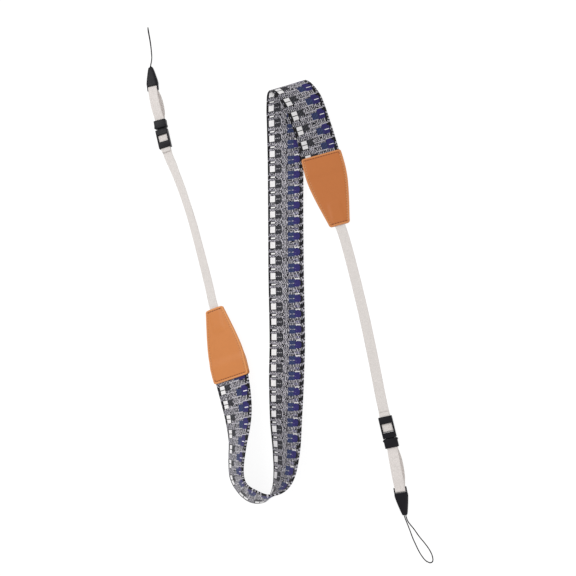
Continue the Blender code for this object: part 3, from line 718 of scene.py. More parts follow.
def frame_wrap():
    """Where the webbing's half turn round the frame's bar starts."""
    return COVER_LENGTH + WINDOW_LENGTH * WRAP_SHARE


def plug_bar():
    """Where the middle of the plug's bar is, clear of the head's wall by the strap round it."""
    lower, upper, _ = crossbar_levels()
    room = (upper - lower) / 2 + WEBBING_THICKNESS / 2 + GAP
    return HEAD_WALL + room + CROSSBAR_LENGTH / 2 - CROSSBAR_NOSE


def connector_middle():
    return CONNECTOR_HEIGHT / 2


def loop_connector_frame(end, plug):
    """The frames at the start of a loop's free stretch and at its connector."""
    turn = Matrix.Rotation(math.radians(end["loop_turn"]), 4, "Z")
    start = plug @ Matrix.Translation((HEAD_LENGTH, 0, 0)) @ turn
    bend = Matrix.Rotation(math.radians(end["connector_turn"]), 4, "Z")
    return start, start @ Matrix.Translation((end["loop_length"], 0, 0)) @ bend


def ring_bar_height():
    return CONNECTOR_HEIGHT * RING_BAR_SHARE


def to_row(points):
    """Points of the part's first frame, in mm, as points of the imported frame, in metres."""
    return (np.asarray(points, float) + SHIFT) * MM


def row_frame(frame):
    """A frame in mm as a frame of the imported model, in metres."""
    frame = frame.copy()
    frame.translation = Vector(to_row(frame.translation))
    return frame


def linear(code):
    """The linear colour of a six-digit sRGB code."""
    found = []
    for i in (0, 2, 4):
        value = int(code[i : i + 2], 16) / 255
        found.append(value / 12.92 if value <= 0.04045 else ((value + 0.055) / 1.055) ** 2.4)
    return found


def link(obj):
    bpy.context.scene.collection.objects.link(obj)
    return obj


def seat(obj, nodes, material):
    """Gives a piece its material and slot, and lets it stand for its nodes on the strap's body."""
    obj.data.materials.clear()
    obj.data.materials.append(material)
    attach(obj, "root")
    if nodes:
        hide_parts(*nodes)


def mesh_object(name, points, faces, colours=None, places=None, painted_light=None):
    """A smooth mesh from points in mm.

    If given, each face has a colour and four texture places, and each point its painted light:
    painted highlights and painted shade.
    """
    mesh = bpy.data.meshes.new(name)
    points, faces = to_row(points), np.asarray(faces)
    mesh.from_pydata(points.tolist(), [], faces.tolist())
    if colours is not None:
        layer = mesh.color_attributes.new("weave", "FLOAT_COLOR", "CORNER")
        values = np.ones((len(faces), 4, 4))
        values[:, :, :3] = np.asarray(colours)[:, None, :]
        layer.data.foreach_set("color", values.ravel())
    if places is not None:
        layer = mesh.uv_layers.new(name="weave_uv")
        layer.data.foreach_set("uv", np.asarray(places, float).ravel())
    # The painted light of each point, painted highlight and painted shade, kept as a colour
    if painted_light is not None:
        layer = mesh.color_attributes.new("painted_light", "FLOAT_COLOR", "POINT")
        values = np.ones((len(points), 4))
        values[:, :3] = np.asarray(painted_light)
        layer.data.foreach_set("color", values.ravel())
    mesh.shade_smooth()
    mesh.validate()
    return link(bpy.data.objects.new(name, mesh))


def even_path(rows, pitch, closed=False):
    """Rows of a smooth curve through the given ones, at an even distance of about the pitch."""
    rows = np.asarray(rows, float)
    if closed:
        rows = np.vstack([rows, rows[:1]])
    gaps = np.linalg.norm(np.diff(rows[:, :3], axis=0), axis=1)
    slopes = np.diff(rows, axis=0) / gaps[:, None]
    first, last = (slopes[-1], slopes[0]) if closed else (slopes[0], slopes[-1])
    before, after = np.vstack([[first], slopes]), np.vstack([slopes, [last]])
    reach_before, reach_after = np.append(gaps[0], gaps), np.append(gaps, gaps[-1])
    total = (reach_before + reach_after)[:, None]
    tangents = (before * reach_after[:, None] + after * reach_before[:, None]) / total
    known = np.append(0, np.cumsum(gaps))
    count = round(known[-1] / pitch)
    places = np.linspace(0, known[-1], count + 1)
    if closed:
        places = places[:-1]
    i = np.clip(np.searchsorted(known, places, side="right") - 1, 0, len(gaps) - 1)
    h = gaps[i][:, None]
    t = (places - known[i])[:, None] / h
    return (
        rows[i] * (2 * t**3 - 3 * t**2 + 1)
        + tangents[i] * h * (t**3 - 2 * t**2 + t)
        + rows[i + 1] * (3 * t**2 - 2 * t**3)
        + tangents[i + 1] * h * (t**3 - t**2)
    )


def ribbon_section(cells, thickness, radius):
    """A ribbon's section: its share across, its offset across and out, and where it faces out.

    It runs over the front, round one edge, over the back and round the other edge.
    """
    shares = np.linspace(-1, 1, cells + 1)
    angles = np.radians(np.linspace(90, -90, EDGE_SEGMENTS + 1))[1:-1]
    half = thickness / 2
    front = [(s, -s * radius, half, 1) for s in shares]
    back = [(s, -s * radius, -half, -1) for s in shares[::-1]]
    far = [(1, radius * (math.cos(a) - 1), half * math.sin(a), 0) for a in angles]
    near = [(-1, radius * (1 - math.cos(a)), half * math.sin(a), 0) for a in angles[::-1]]
    return np.array(front + far + back + near)


def ribbon(name, path, section, relief, paint, closed=False):
    """A woven ribbon along a path of centres, directions across and widths, a face to each cell.

    The section is its cells across, its thickness and its edge's radius. Relief is how far each
    cell stands out, and paint the colour of each cell; both are by rows.
    """
    centres, across, widths = path[:, :3], unit(path[:, 3:6]), path[:, 6]
    tangents = np.gradient(centres, axis=0)
    if closed:
        tangents = np.roll(centres, -1, axis=0) - np.roll(centres, 1, axis=0)
    normals = unit(np.cross(tangents, across))
    section = ribbon_section(*section)
    size = len(section)
    heights = (relief + np.roll(relief, 1, axis=1)) / 2
    above = np.roll(heights, 1, axis=0)
    if closed:
        heights = (heights + above) / 2
    else:
        above[0] = heights[0]
        heights = np.vstack([(heights + above) / 2, heights[-1:]])
    share, inset, out, facing = section.T
    sideways = share * widths[:, None] / 2 + inset
    outwards = out + heights * facing
    points = centres[:, None] + across[:, None] * sideways[..., None]
    points = points + normals[:, None] * outwards[..., None]
    rows = len(path)
    grid = np.arange(rows * size).reshape(rows, size)
    next_row = np.roll(grid, -1, axis=0) if closed else grid[1:]
    this_row = grid if closed else grid[:-1]
    faces = np.stack(
        [this_row, np.roll(this_row, -1, axis=1), np.roll(next_row, -1, axis=1), next_row], axis=-1
    )
    steps, columns = faces.shape[:2]
    u, v = np.meshgrid(np.arange(columns), np.arange(steps))
    corners = ((0, 0), (1, 0), (1, 1), (0, 1))
    places = np.stack([np.stack([u + i, v + j], -1) for i, j in corners], axis=2)
    paint, places = np.asarray(paint).reshape(-1, 3), places.reshape(-1, 4, 2)
    obj = mesh_object(name, points.reshape(-1, 3), faces.reshape(-1, 4), paint, places)
    cap_and_turn_out(obj, closed)
    return obj


def tube_faces(rings, sides, first=0):
    """The faces between rings of points that follow one another, each with the same sides."""
    faces = []
    for ring in range(first, first + (rings - 1) * sides, sides):
        for i in range(sides):
            a, b = ring + i, ring + (i + 1) % sides
            faces.append((a, b, b + sides, a + sides))
    return faces


def cap_and_turn_out(obj, closed):
    """Closes a mesh's open ends, unless it is closed already, and turns its faces outwards."""
    shape = bmesh.new()
    shape.from_mesh(obj.data)
    if not closed:
        edges = [edge for edge in shape.edges if edge.is_boundary]
        bmesh.ops.holes_fill(shape, edges=edges)
    bmesh.ops.recalc_face_normals(shape, faces=shape.faces)
    shape.to_mesh(obj.data)
    shape.free()


def cell_kinds(motifs):
    """The yarn in each cell of one repeat, as indices into the yarns' names, and which are mixed."""
    names = list(YARNS)
    chart = np.zeros((REPEAT_ROWS, BAND_CELLS_ACROSS), int)
    mixed = np.zeros((REPEAT_ROWS, BAND_CELLS_ACROSS), bool)
    for kind, first, last, low, high in motifs:
        mixture = MIXTURES.get(kind, (kind,))
        ticked = kind in TICKED_KINDS
        for row in range(low, high + 1):
            step = row // TICK_ROWS if ticked else row
            for column in range(first, last + 1):
                yarn = mixture[(column + step) % len(mixture)]
                chart[row % REPEAT_ROWS, column] = names.index(yarn)
                mixed[row % REPEAT_ROWS, column] = ticked
    return chart, mixed


def band_paint(first_row, rows, rng):
    """The colour and the relief of each cell round the band's section, for its rows."""
    names, kinds = list(YARNS), list(YARNS.values())
    colours = np.array([linear(code) for code, _, _ in kinds])
    heights = np.array([height for _, height, _ in kinds])
    spread = np.array([shade for _, _, shade in kinds])
    stray = np.array([names.index(name) for name in MOTTLE_YARNS])
    faces = []
    for motifs in (RUN_MOTIFS, LEG_MOTIFS):
        chart, mixed = cell_kinds(motifs)
        turn = (np.arange(rows) + first_row) % REPEAT_ROWS
        cells, mixed = chart[turn], mixed[turn]
        strays = mixed & (rng.random(cells.shape) < MOTTLE_SHARE)
        faces.append(np.where(strays, stray[rng.integers(0, len(stray), cells.shape)], cells))
    run, leg = faces
    white_edge = np.repeat(run[:, :1], EDGE_SEGMENTS, axis=1)
    dark_edge = np.repeat(leg[:, -1:], EDGE_SEGMENTS, axis=1)
    cells = np.hstack([run[:, ::-1], white_edge, leg, dark_edge])
    shade = 1 + rng.uniform(-1, 1, cells.shape) * spread[cells]
    # Painted shade: the leg beyond the fold is darkened in its colour, fading in over those repeats
    repeats = (np.arange(rows) + first_row) / REPEAT_ROWS
    shade *= np.interp(repeats, FAR_LEG_REPEATS, (1.0, FAR_LEG_PAINTED_SHADE))[:, None]
    relief = heights[cells] + rng.uniform(-BAND_UNEVENNESS, BAND_UNEVENNESS, cells.shape)
    return colours[cells] * shade[..., None], relief


def weave_rows(path):
    """The path's rows laid out anew, one to each row of the weave, and the first one's number."""
    reach = np.append(0, np.cumsum(np.linalg.norm(np.diff(path[:, :3], axis=0), axis=1)))
    between = reach[-1] - 2 * BAND_TUCK
    places = [BAND_TUCK + share * between for _, share, _ in WEAVE_COUNT]
    counts = [count for _, _, count in WEAVE_COUNT]
    pitch = between / (counts[-1] - counts[0])
    places = [0.0, *places, reach[-1]]
    counts = [counts[0] - BAND_TUCK / pitch, *counts, counts[-1] + BAND_TUCK / pitch]
    first, last = math.ceil(counts[0] * REPEAT_ROWS), math.floor(counts[-1] * REPEAT_ROWS)
    spots = np.interp(np.arange(first, last + 1) / REPEAT_ROWS, counts, places)
    rows = np.column_stack([np.interp(spots, reach, column) for column in path.T])
    return rows, first


def band_path():
    """The band's path, with its ends tucked into the tabs."""
    centres, aims, widths = band_stations()
    for end in ENDS:
        tab = tab_frame(end, centres[end["station"]], aims[end["station"]])
        tucked = np.array(tab @ Vector((BAND_TUCK, 0, 0)))
        at_start = end["station"] == 0
        aim = aims[:1] if at_start else aims[-1:]
        centres = np.vstack([[tucked], centres] if at_start else [centres, [tucked]])
        aims = np.vstack([aim, aims] if at_start else [aims, aim])
        widths = np.append(BAND_WIDTH, widths) if at_start else np.append(widths, BAND_WIDTH)
    return centres, aims, widths


def packed_shift():
    """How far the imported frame's origin is from the part's first frame, from the band's box."""
    centres, aims, widths = band_path()
    corners = strip_rings(centres, aims, widths, BAND_THICKNESS, BAND_CHAMFER)
    return np.array(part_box("woven_band")[0]) / MM - corners.min(axis=(0, 1))


def strip_rings(centres, across, widths, thickness, chamfer):
    """The section points of a plain strap at each of its stations."""
    centres, across = np.asarray(centres), unit(across)
    normals = unit(np.cross(np.gradient(centres, axis=0), across))
    a, n = np.asarray(widths) / 2, thickness / 2
    rings = []
    for side, out in ((-a, chamfer - n), (chamfer - a, -n), (-a, n - chamfer), (chamfer - a, n)):
        for turn in (1, -1):
            rings.append(centres + across * (side * turn)[:, None] + normals * out)
    return np.stack(rings, axis=1)


def make_band(material):
    centres, aims, widths = band_path()
    path = even_path(np.column_stack([centres, aims, widths]), BAND_FINE_PITCH)
    path, first_row = weave_rows(path)
    paint, relief = band_paint(first_row, len(path) - 1, np.random.default_rng(BAND_SEED))
    section = (BAND_CELLS_ACROSS, BAND_THICKNESS, BAND_THICKNESS * EDGE_ROUNDNESS)
    band = ribbon("band_cloth", path, section, relief, paint)
    seat(band, ["woven_band"], material)


def plain_weave(rows, code, rng):
    """Paint and relief of a plain ribbon whose yarns go over and under in turn."""
    columns = 2 * (WEBBING_CELLS_ACROSS + EDGE_SEGMENTS)
    colour = np.array(linear(code))
    shade = 1 + rng.uniform(*IVORY_SHADES, (rows, columns, 1))
    parity = (np.arange(rows)[:, None] + np.arange(columns)[None, :]) % 2
    shade = shade * (1 - IVORY_UNDER_SHADE * parity[..., None])
    return colour * shade, IVORY_RELIEF * parity


def make_ivory(kind, end, points, sides, material, closed=False):
    """An end's webbing or loop along a path of centres and directions across."""
    name = f"{kind}_{end['name']}"
    code, seed = IVORY_PIECES[kind]
    rows = np.column_stack([points, sides, [WEBBING_WIDTH] * len(points)])
    path = even_path(rows, WEBBING_CELL, closed)
    steps = len(path) if closed else len(path) - 1
    paint, relief = plain_weave(steps, code, np.random.default_rng(seed))
    edge = WEBBING_THICKNESS * EDGE_ROUNDNESS
    section = (WEBBING_CELLS_ACROSS, WEBBING_THICKNESS, edge)
    cloth = ribbon(f"{name}_cloth", path, section, relief, paint, closed)
    seat(cloth, [name], material)


def webbing_path(end, tab):
    """The webbing's points and directions across, to its sewn fold, and the buckle's frame."""
    mouth = tab @ Vector((TAB_LENGTH, 0, 0))
    x_axis = tab.to_3x3() @ Vector((1, 0, 0))
    heading = math.atan2(x_axis.y, x_axis.x)
    plan, headings, rolls = heading_path(end, mouth.xy, heading)
    buckle = flat_frame(plan[-1], headings[-1])
    lower, upper, _ = crossbar_levels()
    shares = np.linspace(0, 1, len(plan))
    tuck = [(TAB_LENGTH - WEBBING_TUCK * share, 0, 0) for share in TUCK_SHARES]
    centres = list(to_world(tab, tuck))
    sides = [np.array(tab.to_3x3() @ Vector((0, 1, 0)))] * len(tuck)
    for point, aim, roll, share in zip(plan, headings, rolls, shares):
        height = rest_height(WEBBING_WIDTH / 2, WEBBING_THICKNESS / 2, roll)
        height += (mouth.z - height) * (1 - ramp(share, 0.0, TAB_RELEASE))
        height += (lower - height) * ramp(share, *BUCKLE_APPROACH)
        centres.append(np.array([*point, height]))
        tilt = math.radians(roll)
        flat = math.cos(tilt)
        sides.append(np.array([-math.sin(aim) * flat, math.cos(aim) * flat, math.sin(tilt)]))
    wrap_at = frame_wrap()
    places = (COVER_LENGTH * 0.5, COVER_LENGTH, wrap_at - WRAP_LEAD)
    under = [(x, 0, lower) for x in places]
    tail = [(x, 0, upper) for x in (*places[::-1], 0)]
    tail.append((-TAIL_LENGTH, 0, lower + WEBBING_THICKNESS + GAP))
    wrap = under + half_turn(wrap_at, 1) + tail
    centres.extend(to_world(buckle, wrap))
    sides.extend([np.array(buckle.to_3x3() @ Vector((0, 1, 0)))] * len(wrap))
    return centres, sides, buckle


def make_webbing(end, tab, material):
    """The webbing from the tab to the buckle. Returns the buckle's frame."""
    centres, sides, buckle = webbing_path(end, tab)
    make_ivory("webbing", end, centres, sides, material)
    return buckle


def make_loop(end, plug, material):
    """The sewn ring of webbing. Returns its connector's frame."""
    lower, upper, _ = crossbar_levels()
    length, middle = end["loop_length"], connector_middle()
    start, connector = loop_connector_frame(end, plug)
    radius = ring_bar_height() / 2 + WEBBING_THICKNESS / 2 + GAP
    top, bottom = middle + radius, middle - radius
    near = plug_bar() - CROSSBAR_LENGTH / 2 + CROSSBAR_NOSE
    out = [(HEAD_LENGTH - WRAP_LEAD, 0, upper), (HEAD_LENGTH, 0, upper)]
    back = [(HEAD_LENGTH, 0, lower), (HEAD_LENGTH - WRAP_LEAD, 0, lower)]
    rise = WEBBING_WIDTH * LOOP_RISE
    over = [
        (length * share, 0, upper + (top - upper) * share + rise * swell)
        for share, swell in LOOP_UPPER
    ]
    beneath = []
    for share, stray, sunk in LOOP_LOWER:
        level = lower + (bottom - lower) * share
        level += (WEBBING_THICKNESS / 2 - level) * sunk
        beneath.append((length * share, end["loop_bow"] * stray, level))
    angles = np.radians(np.linspace(90, -90, WRAP_POINTS))
    slack = RING_SLOT - GAP - WEBBING_THICKNESS / 2
    wrap = [(RING_BAR + slack * math.cos(a), 0, middle + radius * math.sin(a)) for a in angles]
    stretches = (
        (plug, half_turn(near, -1) + out),
        (start, over),
        (connector, [(RING_MOUTH, 0, top), *wrap, (RING_MOUTH, 0, bottom)]),
        (start, beneath),
        (plug, back),
    )
    points, sides = [], []
    for place, spots in stretches:
        points.extend(to_world(place, spots))
        sides.extend([np.array(place.to_3x3() @ Vector((0, 1, 0)))] * len(spots))
    make_ivory("loop", end, points, sides, material, closed=True)
    return connector


def smooth_half_width(x):
    """Half the leather's width at a distance from its wide end, its corners rounded."""
    places = (x, x - OUTLINE_EASE, x + OUTLINE_EASE)
    half = sum(tab_half_width(place / TAB_LENGTH) for place in places) / len(places)
    reach = min(x, TAB_LENGTH - x)
    if reach < LEATHER_CORNER:
        half -= LEATHER_CORNER - math.sqrt(LEATHER_CORNER**2 - (LEATHER_CORNER - reach) ** 2)
    return half


def bell(value, middle, spread):
    """1 at the middle, falling smoothly to 0 on both sides of it."""
    return math.exp(-(((value - middle) / spread) ** 2))


def leather_top(x, y, half):
    """The height of a leather's outer side, and its painted light: the painted highlight near the
    edge and the painted shade in the stitch groove.
    """
    inset = min(half - abs(y), x, TAB_LENGTH - x)
    height = tab_filling(x, y) + LEATHER_THICKNESS
    if inset < LEATHER_EDGE_RADIUS:
        height -= LEATHER_EDGE_DROP * (1 - inset / LEATHER_EDGE_RADIUS) ** 2
    height -= LEATHER_GROOVE * bell(inset, STITCH_INSET, GROOVE_SPREAD)
    # Painted shade darkens the stitch groove; the first mark is the painted highlight near the edge
    groove = GROOVE_SHADE * bell(inset, STITCH_INSET, GROOVE_SHADE_SPREAD)
    return height, (bell(inset, HIGHLIGHT_INSET, HIGHLIGHT_SPREAD), groove, 0.0)


def leather_grid(side, outer):
    """Rows of points over one side of a leather, and the painted highlight and shade at each one."""
    insets = np.array(LEATHER_INSETS)
    inner = np.linspace(insets[-1], TAB_LENGTH - insets[-1], LEATHER_INNER_ROWS)[1:-1]
    stations = np.concatenate([insets, inner, TAB_LENGTH - insets[::-1]])
    rows, painted_light = [], []
    for x in stations:
        half = smooth_half_width(x)
        reach = half - insets
        middle = np.linspace(-reach[-1], reach[-1], LEATHER_INNER_COLUMNS)[1:-1]
        row, light_marks = [], []
        for y in np.concatenate([-reach, middle, reach[::-1]]):
            if outer:
                height, edge = leather_top(x, y, half)
            else:
                sealed = (1 - ramp(half - abs(y), *SEAL_FADE)) * ramp(x, *SEAL_START)
                height = (tab_filling(x, y) - LEATHER_SEAL) * (1 - sealed)
                edge = INNER_PAINTED_LIGHT
            row.append((x, y, side * height))
            light_marks.append(edge)
        rows.append(row)
        painted_light.append(light_marks)
    return rows, painted_light


def make_leather(end, label, side, frame, material):
    """One leather of a tab: its two sides and the rim between them."""
    points, faces, painted_light, rims = [], [], [], []
    for outer in (True, False):
        rows, light_marks = leather_grid(side, outer)
        first, width = len(points), len(rows[0])
        for row in rows:
            points.extend(row)
        for row in light_marks:
            painted_light.extend(row)
        grid = [[first + i * width + j for j in range(width)] for i in range(len(rows))]
        for near, far in zip(grid, grid[1:]):
            faces.extend((near[j], near[j + 1], far[j + 1], far[j]) for j in range(width - 1))
        rims.append(grid_rim(grid))
    outer_rim, inner_rim = rims
    for i in range(len(outer_rim)):
        after = (i + 1) % len(outer_rim)
        faces.append((outer_rim[i], outer_rim[after], inner_rim[after], inner_rim[i]))
    name = f"tab_{end['name']}_{label}"
    leather = mesh_object(f"{name}_leather", to_world(frame, points), faces, painted_light=painted_light)
    cap_and_turn_out(leather, True)
    leather.data.set_sharp_from_angle(angle=math.radians(LEATHER_SHARP_ANGLE))
    seat(leather, [name], material)


def grid_rim(grid):
    """The points round the edge of a grid, in order."""
    far_side = [row[-1] for row in grid[1:]]
    near_side = [row[0] for row in grid[-2:0:-1]]
    return grid[0] + far_side + grid[-1][-2::-1] + near_side


def seam_line():
    """Points round a leather, one stitch inset from its edge."""
    corner, tip = STITCH_INSET + SEAM_CORNER, TAB_LENGTH - STITCH_INSET
    stations = np.linspace(corner, TAB_LENGTH - corner, SEAM_POINTS["side"])
    side = [(x, smooth_half_width(x) - STITCH_INSET) for x in stations]
    wide, narrow = smooth_half_width(STITCH_INSET) - corner, smooth_half_width(tip) - corner
    loop = [(STITCH_INSET, y) for y in np.linspace(-wide, wide, SEAM_POINTS["wide_end"])]
    loop += side
    loop += [(tip, y) for y in np.linspace(narrow, -narrow, SEAM_POINTS["narrow_end"])]
    loop += [(x, -y) for x, y in side[::-1]]
    return np.array(loop)


def stitch_mesh(name, frame, side, stitches, diameter, material):
    """Short rounded threads on one side of a frame, from their starts to their sunk ends."""
    up = np.array(frame.to_3x3() @ Vector((0, 0, side)))
    points, faces = [], []
    for start, end in zip(*(to_world(frame, spots) for spots in stitches)):
        along = end - start
        across = unit(np.cross(along, up))
        first = len(points)
        for share in STITCH_RINGS:
            arch = math.sin(math.pi * share)
            radius = diameter / 2 * math.sqrt(max(STITCH_TIP, arch))
            lift = diameter * (STITCH_ARCH * arch - STITCH_SINK)
            for i in range(STITCH_SIDES):
                angle = 2 * math.pi * i / STITCH_SIDES
                spoke = across * math.cos(angle) + up * math.sin(angle) * STITCH_FLATNESS
                points.append(start + along * share + up * lift + spoke * radius)
        faces.extend(tube_faces(len(STITCH_RINGS), STITCH_SIDES, first))
    stitches = mesh_object(name, points, faces)
    cap_and_turn_out(stitches, False)
    seat(stitches, [], material)


def make_seam(end, label, side, frame, threads):
    """The stitches round one leather, in one thread painted darker at its two ends as shade and paler
    along its sides as a highlight.
    """
    loop = seam_line()
    loop = np.vstack([loop, loop[:1]])
    reach = np.append(0, np.cumsum(np.linalg.norm(np.diff(loop, axis=0), axis=1)))
    count = round(reach[-1] / STITCH_PITCH)
    rows = {"ends": ([], []), "sides": ([], [])}
    for place in np.arange(count) * reach[-1] / count:
        spots = []
        for shift in (0.0, STITCH_LENGTH):
            spot = (place + shift) % reach[-1]
            x, y = np.interp(spot, reach, loop[:, 0]), np.interp(spot, reach, loop[:, 1])
            height, _ = leather_top(x, y, smooth_half_width(x))
            spots.append((x, y, side * height))
        from_end = min(spots[0][0], TAB_LENGTH - spots[0][0])
        near_end = from_end < STITCH_INSET + SEAM_END_REACH
        for found, spot in zip(rows["ends" if near_end else "sides"], spots):
            found.append(spot)
    for part, stitches in rows.items():
        name, diameter = f"seam_{end['name']}_{label}_{part}", STITCH_DIAMETERS[part]
        stitch_mesh(name, frame, side, stitches, diameter, threads[part])


def make_tail_stitches(end, buckle, material):
    """Two short rows of stitches that close the webbing's fold beside the buckle's cover."""
    lower, _, _ = crossbar_levels()
    top = lower + WEBBING_THICKNESS + GAP + WEBBING_THICKNESS / 2
    starts, ends = [], []
    for share, rise in TAIL_SEAMS:
        for i in range(TAIL_STITCHES):
            y = TAIL_STITCH_START + i * TAIL_STITCH_PITCH
            starts.append((-TAIL_LENGTH * share, y, top + rise))
            ends.append((-TAIL_LENGTH * share, y + TAIL_STITCH_LENGTH, top + rise))
    name, diameter = f"tail_stitches_{end['name']}", TAIL_STITCH_DIAMETER
    stitch_mesh(name, buckle, 1, (starts, ends), diameter, material)


def finished_mesh(name, shape):
    mesh = bpy.data.meshes.new(name)
    shape.to_mesh(mesh)
    shape.free()
    return mesh


def block(name, low, high, rounding=0.0):
    """A box from its low and high corners, its edges rounded, as a mesh in millimetres."""
    shape = bmesh.new()
    bmesh.ops.create_cube(shape, size=1.0)
    low, high = Vector(low), Vector(high)
    for vert in shape.verts:
        vert.co = Vector(((low[i] + high[i]) / 2 + vert.co[i] * (high[i] - low[i])) for i in range(3))
    if rounding:
        settings = {"segments": ROUNDING_SEGMENTS, "profile": 0.5, "affect": "EDGES"}
        bmesh.ops.bevel(shape, geom=shape.edges[:], offset=rounding, **settings)
    return finished_mesh(name, shape)


def placed(name, mesh, frame):
    """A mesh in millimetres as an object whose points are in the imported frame."""
    mesh.transform(Matrix.Scale(MM, 4))
    mesh.transform(row_frame(frame))
    return link(bpy.data.objects.new(name, mesh))


def moulded(node, mesh, changes, frame, material):
    """A plastic piece for a node from a mesh and its cuts and joins, with fine edges, applied."""
    name = f"{node}_moulded"
    obj = placed(name, mesh, frame)
    helpers = []
    for kind, helper_mesh in changes:
        helper = placed(f"{name}_helper", helper_mesh, frame)
        helpers.append(helper)
        modifier = obj.modifiers.new(kind, "BOOLEAN")
        modifier.operation = kind
        modifier.solver = "EXACT"
        modifier.object = helper
    obj.modifiers.new("flat_triangles", "TRIANGULATE")
    fine = obj.modifiers.new("fine_edges", "BEVEL")
    fine.width = PLASTIC_EDGE * MM
    fine.segments = PLASTIC_EDGE_SEGMENTS
    fine.limit_method = "ANGLE"
    fine.angle_limit = math.radians(PLASTIC_EDGE_ANGLE)
    bpy.context.view_layer.update()
    graph = bpy.context.evaluated_depsgraph_get()
    finished = bpy.data.meshes.new_from_object(obj.evaluated_get(graph))
    obj.modifiers.clear()
    obj.data = finished
    finished.name = name
    finished.shade_smooth()
    finished.set_sharp_from_angle(angle=math.radians(PLASTIC_SHARP_ANGLE))
    for helper in helpers:
        bpy.data.objects.remove(helper)
    seat(obj, [node], material)


def crossbar_block(x, half_span):
    _, _, middle = crossbar_levels()
    low = (x - CROSSBAR_LENGTH / 2, -half_span, middle - CROSSBAR_HEIGHT / 2)
    high = (x + CROSSBAR_LENGTH / 2, half_span, middle + CROSSBAR_HEIGHT / 2)
    return block("crossbar", low, high, CROSSBAR_ROUNDING)


def make_buckle_frame(end, frame, material):
    half, passage = buckle_half_width(), WEBBING_WIDTH / 2 + GAP
    body = block("frame", (0, -half, 0), (frame_length(), half, BUCKLE_HEIGHT), BUCKLE_ROUNDING)
    window_end = COVER_LENGTH + WINDOW_LENGTH
    ceiling, above = BUCKLE_HEIGHT - COVER_THICKNESS, BUCKLE_HEIGHT + CUT_MARGIN
    under = block("passage", (-CUT_MARGIN, -passage, -CUT_MARGIN), (window_end, passage, ceiling))
    lip = window_end - WINDOW_LIP
    window = block("window", (COVER_LENGTH, -passage, CUT_MARGIN), (lip, passage, above))
    wide, tall = TONGUE_WIDTH / 2 + TONGUE_PLAY, TONGUE_HEIGHT / 2 + GAP
    middle = BUCKLE_HEIGHT / 2
    low = (window_end - CUT_MARGIN, -wide, middle - tall)
    high = (frame_length() + CUT_MARGIN, wide, middle + tall)
    bar = frame_wrap() - CROSSBAR_LENGTH / 2 + CROSSBAR_NOSE
    changes = [
        ("DIFFERENCE", under),
        ("DIFFERENCE", window),
        ("DIFFERENCE", block("cavity", low, high)),
        ("UNION", crossbar_block(bar, half - RAIL_WIDTH / 2)),
    ]
    moulded(f"buckle_frame_{end['name']}", body, changes, frame, material)


def lug_mesh(x, y):
    shape = bmesh.new()
    bmesh.ops.create_cone(
        shape,
        cap_ends=True,
        segments=LUG_SIDES,
        radius1=LUG_RADIUS,
        radius2=LUG_RADIUS,
        depth=LUG_HEIGHT,
        matrix=Matrix.Translation((x, y, BUCKLE_HEIGHT / 2)),
    )
    return finished_mesh("lug", shape)


def make_plug(end, frame, material):
    """The buckle's inner half. Returns its frame."""
    start = Matrix.Translation((frame_length() + end["plug_gap"], 0, 0))
    frame = frame @ start @ Matrix.Rotation(math.radians(end["plug_turn"]), 4, "Z")
    half, passage = buckle_half_width(), WEBBING_WIDTH / 2 + GAP
    body = block("plug", (0, -half, 0), (HEAD_LENGTH, half, BUCKLE_HEIGHT), BUCKLE_ROUNDING)
    ceiling, middle = BUCKLE_HEIGHT - COVER_THICKNESS, BUCKLE_HEIGHT / 2
    low, high = (HEAD_WALL, -passage, -CUT_MARGIN), (HEAD_LENGTH + CUT_MARGIN, passage, ceiling)
    changes = [("DIFFERENCE", block("mouth", low, high))]
    low = (-TONGUE_LENGTH, -TONGUE_WIDTH / 2, middle - TONGUE_HEIGHT / 2)
    high = (HEAD_WALL / 2, TONGUE_WIDTH / 2, middle + TONGUE_HEIGHT / 2)
    changes.append(("UNION", block("tongue", low, high, TONGUE_ROUNDING)))
    for side in (-1, 1):
        lug = lug_mesh(LUG_RADIUS + LUG_SETBACK, side * (half + LUG_STAND_OUT - LUG_RADIUS))
        changes.append(("UNION", lug))
    changes.append(("UNION", crossbar_block(plug_bar(), half - RAIL_WIDTH / 2)))
    moulded(f"buckle_plug_{end['name']}", body, changes, frame, material)
    return frame


def connector_mesh():
    """The tapered connector's outside, lofted through many rings read from its table."""
    slot_end = RING_BAR + RING_SLOT
    wide, tall = CONNECTOR_WIDTH / 2, CONNECTOR_HEIGHT / 2
    known = []
    for _, share, width, height in CONNECTOR_END:
        known.append((RING_ROUNDING * share, wide * width, tall * height))
    for _, share, width, height in CONNECTOR_BODY:
        half_width = TIP_WIDTH / 2 + (wide - TIP_WIDTH / 2) * width
        half_height = TIP_HEIGHT / 2 + (tall - TIP_HEIGHT / 2) * height
        known.append((slot_end + BODY_LENGTH * share, half_width, half_height))
    tip = slot_end + BODY_LENGTH + TIP_ROUNDING
    known.append((tip, TIP_WIDTH * CONNECTOR_TIP_FACE, TIP_HEIGHT * CONNECTOR_TIP_FACE))
    sections = smooth_path(known, CONNECTOR_STEPS)
    rings = [connector_ring(*section) for section in sections]
    sides = FINE_CONNECTOR_SIDES
    points = [point for ring in rings for point in ring]
    faces = [tuple(range(sides)), tuple((len(rings) - 1) * sides + i for i in range(sides))]
    faces.extend(tube_faces(len(rings), sides))
    mesh = bpy.data.meshes.new("connector")
    mesh.from_pydata(points, [], faces)
    shape = bmesh.new()
    shape.from_mesh(mesh)
    bmesh.ops.recalc_face_normals(shape, faces=shape.faces)
    return finished_mesh("connector", shape)


def connector_ring(x, half_width, half_height):
    """The points of one section of the connector, a rounded oblong."""
    across, upwards = CONNECTOR_ROUNDNESS
    ring = []
    for i in range(FINE_CONNECTOR_SIDES):
        angle = 2 * math.pi * (i + 0.5) / FINE_CONNECTOR_SIDES
        c, s = math.cos(angle), math.sin(angle)
        y = half_width * math.copysign(abs(c) ** across, c)
        z = half_height * math.copysign(abs(s) ** upwards, s)
        ring.append((x, y, connector_middle() + z))
    return ring


